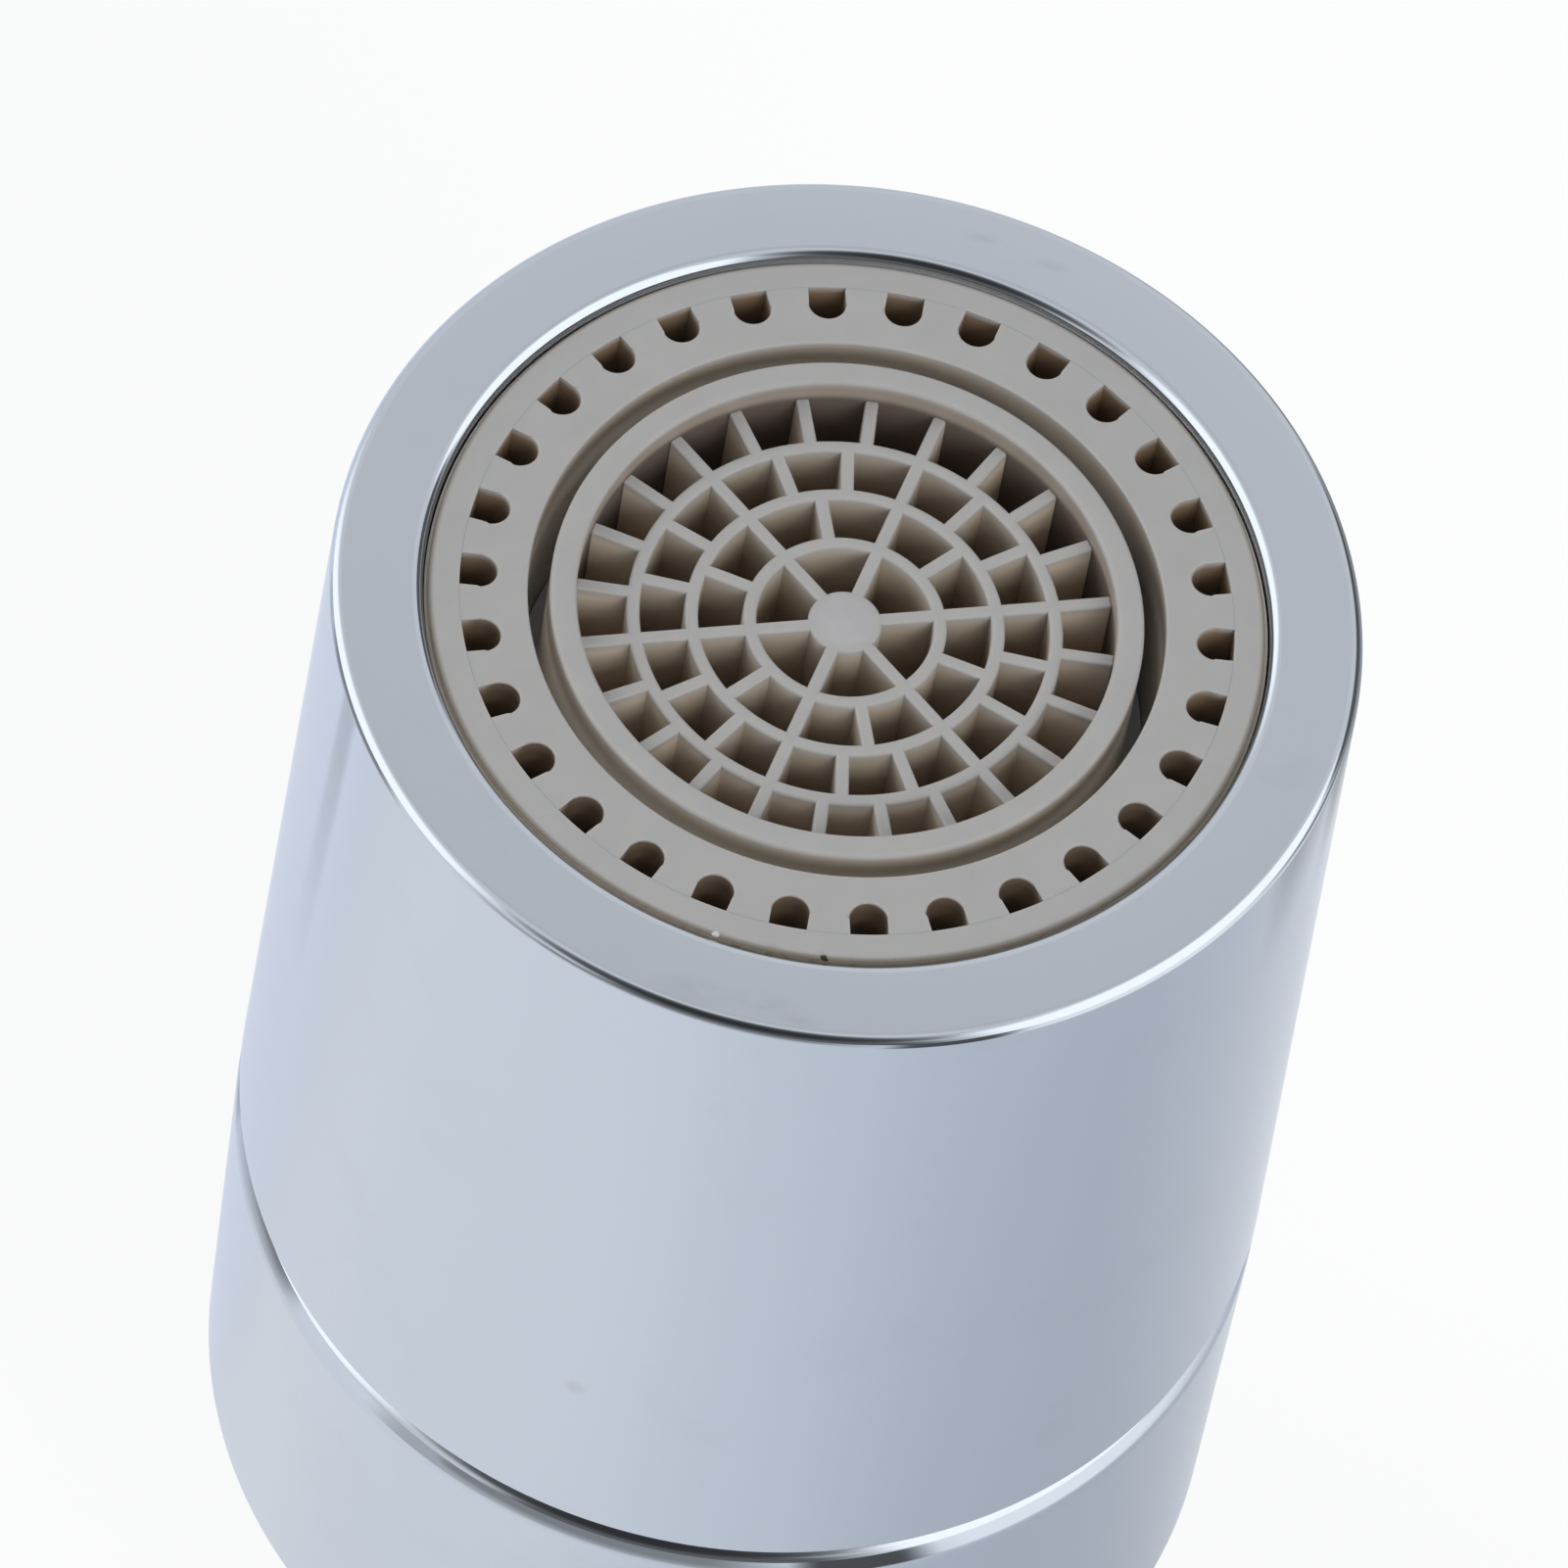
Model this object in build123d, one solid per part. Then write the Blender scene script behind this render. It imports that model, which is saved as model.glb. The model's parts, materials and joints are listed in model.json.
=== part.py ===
from build123d import *
import math
import os

# Dual-flow swivel aerator for a kitchen tap, standing on its inlet with the outlet up.
# Millimetres. The origin is the centre of the inlet seal's face, and +Z runs along the axis to the outlet.
# Every piece is round about Z unless a pattern of holes or ribs says otherwise.

# Fits, all on the radius or between flat faces
SEAT_FIT = 0.05        # pieces that are pressed, screwed or laid together
RUN_FIT = 0.06         # pieces that turn or slide on each other
END_PLAY = 0.10        # axial play of the turning stem
RUBBER_FIT = 0.05      # rubber ring to the wall that moves past it

# Outlet face, from the rim inwards
RIM_OUT_R = 17.0       # outlet sleeve at its rim
RIM_W = 3.0            # width of the flat chrome rim
RIM_T = 2.3            # thickness of the rim
RIM_PROUD = 0.2        # the rim stands this much above the moulded face
RIM_EDGE = 0.4         # round on the rim's outer edge
RIM_LIP = 0.4          # round on the rim's inner edge
FACE_GAP = 0.22        # shallow joint between the rim and the face ring
FACE_LEDGE = 0.35      # depth of that joint
FACE_EDGE = 0.12       # round on the face ring's edge at the joint
FACE_RING_W = 1.07     # face ring, down to the slots' flat outer ends
FACE_FLANGE_T = 2.2    # flange of the face ring, held under the rim
SLOT_COUNT = 30
SLOT_LEN = 1.18        # radial length of a slot
SLOT_W = 1.25
SLOT_LAND = 1.02       # plate between the slots and the air gap
PLATE_T = 2.5
PLATE_SKIRT_T = 0.79   # wall that hangs from the plate round the air gap
AIR_GAP = 0.72         # ring gap that lets air in
CUP_WALL = 0.89
CUP_EDGE = 0.15        # rounds on the cup's lip
GRILLE_DROP = 0.86     # the grille lies this far below the cup's lip
GRILLE_DEPTH = 3.6
HUB_R = 1.22
SPOKE_COUNTS = (6, 12, 18, 24)
RIB_T = 0.45
FACE_PHASE = 18.0      # degrees from +X to a main spoke and a slot

# Stream cup below the grille, and the jet plate
WINDOW_COUNT = 8
WINDOW_W = 3.0
WINDOW_H = 1.4
WINDOW_EDGE = 0.3      # wall left above and below a window
SPIGOT_LEN = 1.8       # cup's spigot in the divider's tube
SPIGOT_STEP = 0.9      # shoulder of the cup on the tube's end
SPIGOT_WALL = 0.95
JET_T = 1.2
JET_R = 0.55
JET_COUNTS = (8, 16)   # jets on the inner and the outer circle

# Flow divider and valve
TUBE_LEDGE = 0.7       # ledge under the jet plate
TUBE_STEP = 0.9        # ledge under the spray plate's skirt
STEP_DROP = 7.2        # the skirt's ledge lies this far below the tube's end
SKIRT_T = 1.5          # outer wall of the divider
PARTITION_T = 3.0
FEED_COUNT = 12
FEED_R = 1.0           # feed holes to the spray chamber
STEM_WALL = 2.3        # wall of the valve stem
STEM_CAP = 0.95        # stem left above the stop clip
STEM_HEAD_ROOM = 0.6   # from the stem to the jet plate
PORT_COUNT = 8
PORT_R = 1.0
PORT_MARGIN = 0.25     # the partition clears the ports by this at either end of its travel
VALVE_RING_D = 1.1     # section of the valve's rubber ring
RING_GROOVE_ROOM = 0.3 # a groove is this much wider than its ring
STOP_CLIP_T = 0.6
STOP_CLIP_W = 1.9      # how far the clip stands out of the stem
STOP_CLIP_ROOM = 0.84  # from the clip to the divider's tube
CLIP_BITE = 0.8        # depth of a clip in its groove
SLEEVE_CLIP_T = 1.0
SLEEVE_CLIP_W = 1.4    # how far the clip reaches in from the bore
SLEEVE_CLIP_BITE = 0.6
CLIP_MOUTH = 4.0       # opening of every snap ring
REST_GAP = 0.6         # from the core's barrel to the sleeve's clip when pushed in

# Outlet sleeve and rear collar
SLEEVE_H = 31.35
SLEEVE_WALL = 1.5      # at the outlet end, the bore is straight
SLEEVE_FLARE = 0.75    # the outside widens by this down to the seam
SLEEVE_EDGE = 0.3      # round on the edge at the seam
SEAM_GAP = 0.5
COLLAR_H = 15.95
COLLAR_TAPER = 0.25    # the collar narrows by this down to its foot
COLLAR_BEVEL_H = 0.95  # steep bevel below its upper edge
COLLAR_BEVEL_W = 0.35
COLLAR_LIP = 0.45      # round on that edge
COLLAR_EDGE = 1.2      # round on its foot
BARREL_WALL = 2.3      # guide barrel of the core
BARREL_FOOT_T = 2.4
FOOT_SINK = 2.0        # the barrel's foot lies this deep in the collar
GUIDE_RING_D = 1.1     # section of the barrel's rubber ring
GUIDE_RING_DROP = 1.7  # from the barrel's end to its ring
COLLAR_GASKET_T = 0.8
COLLAR_GASKET_W = 1.64
COLLAR_GASKET_EDGE = 0.4 # flat left either side of the gasket

# Ball joint
TILT_DEG = 15.0        # swing of the head to either side
TILT_ROOM = 0.5        # air left under the collar at full swing
COLLAR_BELOW = 8.0     # from the ball's centre to the collar's foot
BALL_R = 8.0
BALL_FLAT = 6.0        # from the ball's centre to its flat top
BALL_ROOM = 0.2        # hollow in the core that clears the ball's edge as it swings
NECK_R = 5.2
SEAT_WALL = 3.0        # bearing ring outside the ball's equator
SEAT_DROP = 4.0        # from the ball's centre to the ring's underside
FOOT_HOLE_ROOM = 0.47  # collar's opening outside the ball, under the bearing ring
FOOT_FLARE = 2.0       # the opening widens by this down to the foot
SEAL_LOW = 2.6         # rubber ring over the ball, from the ball's centre
SEAL_HIGH = 6.4
SEAL_IN_R = 5.2
SEAL_WALL = 0.6        # ring outside the ball's equator
PLUG_LOW = 1.2         # from the ball's centre to the plug's end
PLUG_CHAMFER = 0.6

# Nipple
GASKET_T = 2.0
GASKET_OUT_R = 11.2
GASKET_W = 2.8
THREAD_R = 12.0        # M24 x 1
THREAD_LEN = 6.5
THREAD_CHAMFER = 0.8
HEX_ACROSS = 25.0
HEX_T = 3.0
HEX_BEVEL = 0.8
WEB_T = 4.1            # wall that carries the stem
CAVITY_R = 8.6
STRAINER_LEDGE = 0.9
STRAINER_T = 0.8
STRAINER_RIB = 0.45
STRAINER_HUB_R = 1.2
STRAINER_RIM = 0.9
STRAINER_COUNTS = (6, 12, 18)
JOURNAL_R = 5.0        # stem in the nipple
FLOW_R = 3.0           # water way through stem and ball
JOURNAL_RING_D = 0.9   # section of the stem's rubber ring
SHOULDER_R = 6.2
SHOULDER_T = 1.4
JOURNAL_CLIP_T = 0.6
JOURNAL_CLIP_W = 1.6
JOURNAL_TAIL = 1.3     # stem left below its clip

# Radii that follow
RIM_OPEN_R = RIM_OUT_R - RIM_W
FACE_OUT_R = RIM_OPEN_R - FACE_GAP
SLOT_OUT_R = FACE_OUT_R - FACE_RING_W
SLOT_IN_R = SLOT_OUT_R - SLOT_LEN
PLATE_IN_R = SLOT_IN_R - SLOT_LAND
CUP_OUT_R = PLATE_IN_R - AIR_GAP
CUP_IN_R = CUP_OUT_R - CUP_WALL
BORE_R = RIM_OUT_R - SLEEVE_WALL
SEAM_R = RIM_OUT_R + SLEEVE_FLARE
INSERT_R = BORE_R - SEAT_FIT
SPIGOT_R = CUP_OUT_R - SPIGOT_STEP
TUBE_OUT_R = PLATE_IN_R - SEAT_FIT
TUBE_SEAT_R = SPIGOT_R + SEAT_FIT
TUBE_IN_R = TUBE_SEAT_R - TUBE_LEDGE
STOP_CLIP_R = TUBE_IN_R - STOP_CLIP_ROOM
STEM_R = STOP_CLIP_R - STOP_CLIP_W
STEM_BORE_R = STEM_R - STEM_WALL
VALVE_R = STEM_R + RUN_FIT
BARREL_R = BORE_R - RUN_FIT
PLUG_R = BARREL_R - 2 * COLLAR_GASKET_EDGE - COLLAR_GASKET_W
COLLAR_FOOT_R = SEAM_R - COLLAR_TAPER
SEAT_IN_R = BALL_R + RUN_FIT
SEAT_OUT_R = BALL_R + SEAT_WALL
FOOT_HOLE_R = math.sqrt(BALL_R ** 2 - SEAT_DROP ** 2) + FOOT_HOLE_ROOM
STRAINER_R = CAVITY_R + STRAINER_LEDGE

# Heights that follow, from the inlet up to the ball and the outer shells
Z_END = GASKET_T
Z_HEX = Z_END + THREAD_LEN
Z_NIPPLE = Z_HEX + HEX_T
Z_WEB = Z_NIPPLE - WEB_T
SWING = math.radians(TILT_DEG)
Z_BALL = Z_NIPPLE + TILT_ROOM + COLLAR_BELOW * math.cos(SWING) + COLLAR_FOOT_R * math.sin(SWING)
Z_FOOT = Z_BALL - COLLAR_BELOW
Z_COLLAR = Z_FOOT + COLLAR_H
Z_SEAM = Z_COLLAR + SEAM_GAP
Z_RIM = Z_SEAM + SLEEVE_H
Z_FACE = Z_RIM - RIM_PROUD

# Heights that follow, from the outlet face down to the valve
Z_UNDER_RIM = Z_RIM - RIM_T
Z_SKIRT = Z_UNDER_RIM - FACE_FLANGE_T
Z_GRILLE = Z_FACE - GRILLE_DROP
Z_GRILLE_LOW = Z_GRILLE - GRILLE_DEPTH
Z_WINDOW = Z_GRILLE_LOW - WINDOW_EDGE - WINDOW_H
Z_TUBE = Z_WINDOW - WINDOW_EDGE
Z_JET_TOP = Z_TUBE - SPIGOT_LEN
Z_JET = Z_JET_TOP - JET_T
Z_STEM = Z_JET - STEM_HEAD_ROOM
Z_STOP = Z_STEM - STEM_CAP - STOP_CLIP_T
STROKE = PARTITION_T + 2 * PORT_R + 2 * PORT_MARGIN
Z_PARTITION = Z_STOP - STROKE
Z_DIVIDER = Z_PARTITION - PARTITION_T
Z_PORT = Z_PARTITION + PORT_MARGIN + PORT_R
Z_BARREL = Z_DIVIDER - SLEEVE_CLIP_T - REST_GAP
Z_STEP = Z_TUBE - STEP_DROP


def turned(*corners):
    """Solid of revolution about Z. A corner is (radius, height), or (radius, height, round)."""
    outline = make_face(Polyline(*[corner[:2] for corner in corners], close=True))
    for corner in corners:
        if len(corner) == 3:
            vertex = outline.vertices().sort_by_distance(Vector(*corner[:2]))[0]
            outline = fillet(vertex, corner[2])
    return revolve(Plane.XZ * outline, Axis.Z)


def ring(in_r, out_r, low, high):
    """Plain ring with a square section."""
    return turned((in_r, low), (out_r, low), (out_r, high), (in_r, high))


def rubber_ring(middle_r, section_d, height):
    """Round-section rubber ring about Z."""
    return Pos(0, 0, height) * Torus(middle_r, section_d / 2)


def snap_ring(in_r, out_r, low, thick):
    """Flat ring with an open mouth on its +X side."""
    mouth = Pos((in_r + out_r) / 2, 0, low + thick / 2) * Box(2 * (out_r - in_r), CLIP_MOUTH, 2 * thick)
    return ring(in_r, out_r, low, low + thick) - mouth


def upright_holes(circle_r, hole_r, count, low, high, phase=0.0):
    """Cutters for a circle of holes along Z, a little longer than the wall."""
    height = high - low
    spots = PolarLocations(circle_r, count, start_angle=phase)
    return [Pos(0, 0, low + height / 2) * spot * Cylinder(hole_r, 2 * height) for spot in spots]


def polar_grid(hub_r, out_r, counts, rib, phase):
    """Flat grid of a hub, evenly spaced ring ribs and spokes that double up outwards."""
    pitch = (out_r - hub_r) / len(counts)
    ribs = []
    for zone, count in enumerate(counts):
        near = hub_r + zone * pitch
        if zone > 0:
            ribs.append(Circle(near + rib / 2) - Circle(near - rib / 2))
        spots = PolarLocations(near + pitch / 2, count, start_angle=phase)
        ribs += [spot * Rectangle(pitch + rib / 2, rib) for spot in spots]
    return Circle(hub_r) + ribs


def inlet_gasket():
    return ring(GASKET_OUT_R - GASKET_W, GASKET_OUT_R, 0, GASKET_T)


def inlet_strainer():
    rim_r = STRAINER_R - SEAT_FIT
    grid = polar_grid(STRAINER_HUB_R, rim_r - STRAINER_RIM, STRAINER_COUNTS, STRAINER_RIB, 0)
    grid += Circle(rim_r) - Circle(rim_r - STRAINER_RIM)
    return extrude(Pos(0, 0, Z_END) * grid, STRAINER_T)


def inlet_nipple():
    shank = turned((0, Z_END), (THREAD_R - THREAD_CHAMFER, Z_END), (THREAD_R, Z_END + THREAD_CHAMFER),
                   (THREAD_R, Z_HEX), (0, Z_HEX))
    hexagon = RegularPolygon(HEX_ACROSS / 2, 6, major_radius=False)
    flat_r = HEX_ACROSS / 2 + HEX_BEVEL / 2
    crown = turned((0, Z_HEX), (flat_r, Z_HEX), (flat_r + HEX_BEVEL, Z_HEX + HEX_BEVEL / 2),
                   (flat_r + HEX_BEVEL, Z_NIPPLE - HEX_BEVEL / 2), (flat_r, Z_NIPPLE), (0, Z_NIPPLE))
    head = extrude(Pos(0, 0, Z_HEX) * hexagon, HEX_T) & crown
    seat = ring(0, STRAINER_R, Z_END, Z_END + STRAINER_T)
    cavity = ring(0, CAVITY_R, Z_END, Z_WEB)
    journal = ring(0, JOURNAL_R + RUN_FIT, Z_WEB, Z_NIPPLE)
    return shank + head - seat - cavity - journal


def stem_clip():
    in_r = JOURNAL_R - CLIP_BITE + SEAT_FIT
    low = Z_WEB - END_PLAY - JOURNAL_CLIP_T
    return snap_ring(in_r, JOURNAL_R + JOURNAL_CLIP_W, low, JOURNAL_CLIP_T)


def stem_oring():
    middle_r = JOURNAL_R + RUN_FIT - RUBBER_FIT - JOURNAL_RING_D / 2
    return rubber_ring(middle_r, JOURNAL_RING_D, (Z_WEB + Z_NIPPLE) / 2)


def ball_stem():
    clip_low = Z_WEB - END_PLAY - JOURNAL_CLIP_T
    shoulder = Z_NIPPLE + END_PLAY
    neck_low = shoulder + SHOULDER_T
    tail = clip_low - JOURNAL_TAIL
    stem = turned((0, tail), (JOURNAL_R, tail), (JOURNAL_R, shoulder), (SHOULDER_R, shoulder),
                  (SHOULDER_R, neck_low), (NECK_R, neck_low), (NECK_R, Z_BALL), (0, Z_BALL))
    ball = Pos(0, 0, Z_BALL) * Sphere(BALL_R)
    ball -= ring(0, BALL_R, Z_BALL + BALL_FLAT, Z_BALL + BALL_R)
    clip_high = clip_low + JOURNAL_CLIP_T
    clip_groove = ring(JOURNAL_R - CLIP_BITE, JOURNAL_R, clip_low - SEAT_FIT, clip_high + SEAT_FIT)
    ring_half = (JOURNAL_RING_D + RING_GROOVE_ROOM) / 2
    ring_z = (Z_WEB + Z_NIPPLE) / 2
    ring_r = JOURNAL_R + RUN_FIT - RUBBER_FIT - JOURNAL_RING_D
    ring_groove = ring(ring_r, JOURNAL_R, ring_z - ring_half, ring_z + ring_half)
    water_way = ring(0, FLOW_R, 0, Z_BALL + BALL_R)
    return stem + ball - clip_groove - ring_groove - water_way


def ball_seat():
    low = Z_BALL - SEAT_DROP
    blank = ring(0, SEAT_OUT_R, low, Z_BALL)
    return blank - Pos(0, 0, Z_BALL) * Sphere(SEAT_IN_R)


def ball_seal():
    blank = ring(SEAL_IN_R, BALL_R + SEAL_WALL, Z_BALL + SEAL_LOW, Z_BALL + SEAL_HIGH)
    return blank - Pos(0, 0, Z_BALL) * Sphere(SEAT_IN_R)


def rear_collar():
    shell = turned((0, Z_FOOT), (COLLAR_FOOT_R, Z_FOOT, COLLAR_EDGE), (SEAM_R, Z_COLLAR - COLLAR_BEVEL_H),
                   (SEAM_R - COLLAR_BEVEL_W, Z_COLLAR, COLLAR_LIP), (0, Z_COLLAR))
    seat_low = Z_BALL - SEAT_DROP
    mouth = turned((0, Z_FOOT), (FOOT_HOLE_R + FOOT_FLARE, Z_FOOT), (FOOT_HOLE_R, seat_low), (0, seat_low))
    pocket = ring(0, SEAT_OUT_R + SEAT_FIT, seat_low, Z_COLLAR)
    plug_bore = ring(0, PLUG_R + SEAT_FIT, Z_BALL + PLUG_LOW - PLUG_CHAMFER, Z_COLLAR)
    foot_bore = ring(0, BARREL_R + SEAT_FIT, Z_COLLAR - FOOT_SINK - COLLAR_GASKET_T, Z_COLLAR)
    return shell - mouth - pocket - plug_bore - foot_bore


def collar_gasket():
    low = Z_COLLAR - FOOT_SINK - COLLAR_GASKET_T
    return ring(PLUG_R + COLLAR_GASKET_EDGE, BARREL_R - COLLAR_GASKET_EDGE, low, low + COLLAR_GASKET_T)


def core_body():
    foot = Z_COLLAR - FOOT_SINK
    low = Z_BALL + PLUG_LOW
    floor = foot + BARREL_FOOT_T
    body = turned((0, low), (PLUG_R - PLUG_CHAMFER, low), (PLUG_R, low + PLUG_CHAMFER), (PLUG_R, foot),
                  (BARREL_R, foot), (BARREL_R, Z_BARREL), (BARREL_R - BARREL_WALL, Z_BARREL),
                  (BARREL_R - BARREL_WALL, floor), (STEM_R, floor), (STEM_R, Z_STEM), (0, Z_STEM))
    seal_pocket = ring(0, BALL_R + SEAL_WALL + SEAT_FIT, low, Z_BALL + SEAL_HIGH)
    ball_hollow = Pos(0, 0, Z_BALL) * Sphere(BALL_R + BALL_ROOM)
    water_way = ring(0, STEM_BORE_R, Z_BALL, Z_PORT + PORT_R + PORT_MARGIN)
    guide_z = Z_BARREL - GUIDE_RING_DROP
    guide_half = (GUIDE_RING_D + RING_GROOVE_ROOM) / 2
    guide_r = BORE_R - RUBBER_FIT - GUIDE_RING_D
    guide_groove = ring(guide_r, BARREL_R, guide_z - guide_half, guide_z + guide_half)
    clip_groove = ring(STEM_R - CLIP_BITE, STEM_R, Z_STOP - SEAT_FIT, Z_STOP + STOP_CLIP_T + SEAT_FIT)
    drill = Rotation(0, 90, 0) * Cylinder(PORT_R, 2 * (STEM_R - STEM_BORE_R))
    port_spots = PolarLocations((STEM_R + STEM_BORE_R) / 2, PORT_COUNT)
    ports = [Pos(0, 0, Z_PORT) * spot * drill for spot in port_spots]
    return body - seal_pocket - ball_hollow - water_way - guide_groove - clip_groove - ports


def guide_oring():
    middle_r = BORE_R - RUBBER_FIT - GUIDE_RING_D / 2
    return rubber_ring(middle_r, GUIDE_RING_D, Z_BARREL - GUIDE_RING_DROP)


def stop_clip():
    return snap_ring(STEM_R - CLIP_BITE + SEAT_FIT, STOP_CLIP_R, Z_STOP, STOP_CLIP_T)


def outlet_sleeve():
    shell = turned((BORE_R, Z_SEAM), (SEAM_R, Z_SEAM, SLEEVE_EDGE), (RIM_OUT_R, Z_RIM, RIM_EDGE),
                   (RIM_OPEN_R, Z_RIM, RIM_LIP), (RIM_OPEN_R, Z_UNDER_RIM), (BORE_R, Z_UNDER_RIM))
    low = Z_DIVIDER - SLEEVE_CLIP_T
    return shell - ring(BORE_R, BORE_R + SLEEVE_CLIP_BITE, low - SEAT_FIT, Z_DIVIDER + SEAT_FIT)


def sleeve_clip():
    out_r = BORE_R + SLEEVE_CLIP_BITE - SEAT_FIT
    return snap_ring(BORE_R - SLEEVE_CLIP_W, out_r, Z_DIVIDER - SLEEVE_CLIP_T, SLEEVE_CLIP_T)


def flow_divider():
    wall_r = INSERT_R - SKIRT_T
    ledge_r = TUBE_OUT_R + TUBE_STEP
    body = turned((VALVE_R, Z_DIVIDER), (INSERT_R, Z_DIVIDER), (INSERT_R, Z_SKIRT), (wall_r, Z_SKIRT),
                  (wall_r, Z_PARTITION), (ledge_r, Z_PARTITION), (ledge_r, Z_STEP), (TUBE_OUT_R, Z_STEP),
                  (TUBE_OUT_R, Z_TUBE), (TUBE_SEAT_R, Z_TUBE), (TUBE_SEAT_R, Z_JET), (TUBE_IN_R, Z_JET),
                  (TUBE_IN_R, Z_PARTITION), (VALVE_R, Z_PARTITION))
    seal_z = (Z_DIVIDER + Z_PARTITION) / 2
    seal_half = (VALVE_RING_D + RING_GROOVE_ROOM) / 2
    seal_r = STEM_R + RUBBER_FIT + VALVE_RING_D
    body -= ring(VALVE_R, seal_r, seal_z - seal_half, seal_z + seal_half)
    feed_circle_r = (ledge_r + wall_r) / 2
    body -= upright_holes(feed_circle_r, FEED_R, FEED_COUNT, Z_DIVIDER, Z_PARTITION)
    return body


def valve_seal():
    middle_r = STEM_R + RUBBER_FIT + VALVE_RING_D / 2
    return rubber_ring(middle_r, VALVE_RING_D, (Z_DIVIDER + Z_PARTITION) / 2)


def jet_plate():
    plate_r = TUBE_SEAT_R - SEAT_FIT
    plate = ring(0, plate_r, Z_JET, Z_JET_TOP)
    pitch = TUBE_IN_R / (len(JET_COUNTS) + 1)
    for number, count in enumerate(JET_COUNTS, start=1):
        plate -= upright_holes(number * pitch, JET_R, count, Z_JET, Z_JET_TOP)
    return plate


def stream_cup():
    wall = turned((SPIGOT_R - SPIGOT_WALL, Z_JET_TOP), (SPIGOT_R, Z_JET_TOP), (SPIGOT_R, Z_TUBE),
                  (CUP_OUT_R, Z_TUBE), (CUP_OUT_R, Z_FACE, CUP_EDGE), (CUP_IN_R, Z_FACE, CUP_EDGE),
                  (CUP_IN_R, Z_TUBE), (SPIGOT_R - SPIGOT_WALL, Z_TUBE))
    grid = polar_grid(HUB_R, CUP_IN_R, SPOKE_COUNTS, RIB_T, FACE_PHASE)
    cup = wall + extrude(Pos(0, 0, Z_GRILLE_LOW) * grid, GRILLE_DEPTH)
    spots = PolarLocations((CUP_IN_R + CUP_OUT_R) / 2, WINDOW_COUNT)
    window = Pos(0, 0, Z_WINDOW + WINDOW_H / 2) * Box(2 * CUP_WALL, WINDOW_W, WINDOW_H)
    return cup - [spot * window for spot in spots]


def spray_plate():
    face = Circle(SLOT_OUT_R) - Circle(PLATE_IN_R)
    slot = Circle(SLOT_W / 2) + Pos(SLOT_LEN / 2, 0) * Rectangle(SLOT_LEN, SLOT_W)
    spots = PolarLocations(SLOT_IN_R + SLOT_W / 2, SLOT_COUNT, start_angle=FACE_PHASE)
    face -= [spot * slot for spot in spots]
    plate = extrude(Pos(0, 0, Z_FACE - PLATE_T) * face, PLATE_T)
    return plate + ring(PLATE_IN_R, PLATE_IN_R + PLATE_SKIRT_T, Z_STEP, Z_FACE - PLATE_T)


def face_ring():
    in_r = SLOT_OUT_R + SEAT_FIT
    ledge_r = RIM_OPEN_R - SEAT_FIT
    ledge = Z_FACE - FACE_LEDGE
    return turned((in_r, Z_SKIRT), (INSERT_R, Z_SKIRT), (INSERT_R, Z_UNDER_RIM), (ledge_r, Z_UNDER_RIM),
                  (ledge_r, ledge), (FACE_OUT_R, ledge), (FACE_OUT_R, Z_FACE, FACE_EDGE), (in_r, Z_FACE))


PIECES = (inlet_gasket, inlet_strainer, inlet_nipple, stem_clip, stem_oring, ball_stem, ball_seat, ball_seal,
          rear_collar, collar_gasket, core_body, guide_oring, stop_clip, outlet_sleeve, sleeve_clip,
          flow_divider, valve_seal, jet_plate, stream_cup, spray_plate, face_ring)

os.makedirs("parts", exist_ok=True)
for piece in PIECES:
    export_step(piece(), f"parts/{piece.__name__}.step")
print(f"height {Z_RIM:.2f} mm, ball centre {Z_BALL:.3f} mm, seam {Z_SEAM:.3f} mm, travel {STROKE:.2f} mm")
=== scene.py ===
# %% [markdown]
# # A two-way tap aerator, dressed for a studio picture
# The solids of this aerator come packed in one frame, in metres, standing on the inlet with the outlet up.
# This lesson loads them, sets the studio, mixes the finishes and then remakes the pieces that show, with
# the small rounds, the screw thread and the stains that the plain solids leave out. The pieces inside stay
# as they are packed and only get a finish.

# %% Load the frame
import json
import math
import bmesh
import bpy
from mathutils import Matrix, Quaternion, Vector

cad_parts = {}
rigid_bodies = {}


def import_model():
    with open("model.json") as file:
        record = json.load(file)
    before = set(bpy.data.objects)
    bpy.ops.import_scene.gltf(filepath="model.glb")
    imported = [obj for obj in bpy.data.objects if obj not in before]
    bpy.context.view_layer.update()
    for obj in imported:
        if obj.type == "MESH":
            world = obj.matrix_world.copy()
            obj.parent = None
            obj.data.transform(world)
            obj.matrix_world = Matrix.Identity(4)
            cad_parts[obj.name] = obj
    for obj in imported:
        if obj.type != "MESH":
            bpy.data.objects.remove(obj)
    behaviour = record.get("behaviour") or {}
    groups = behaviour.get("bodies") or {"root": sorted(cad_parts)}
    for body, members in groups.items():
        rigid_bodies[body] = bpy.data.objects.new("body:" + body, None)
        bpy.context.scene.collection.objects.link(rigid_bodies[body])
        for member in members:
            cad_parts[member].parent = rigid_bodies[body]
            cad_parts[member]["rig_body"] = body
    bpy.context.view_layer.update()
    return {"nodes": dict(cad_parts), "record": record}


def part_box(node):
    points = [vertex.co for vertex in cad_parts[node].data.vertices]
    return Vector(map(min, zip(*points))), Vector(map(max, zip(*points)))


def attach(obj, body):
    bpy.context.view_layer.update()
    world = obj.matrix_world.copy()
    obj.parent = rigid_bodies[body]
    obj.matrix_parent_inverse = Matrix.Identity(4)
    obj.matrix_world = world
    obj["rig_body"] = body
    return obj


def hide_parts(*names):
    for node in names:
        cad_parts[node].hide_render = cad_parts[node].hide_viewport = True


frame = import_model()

scene = bpy.context.scene

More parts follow.
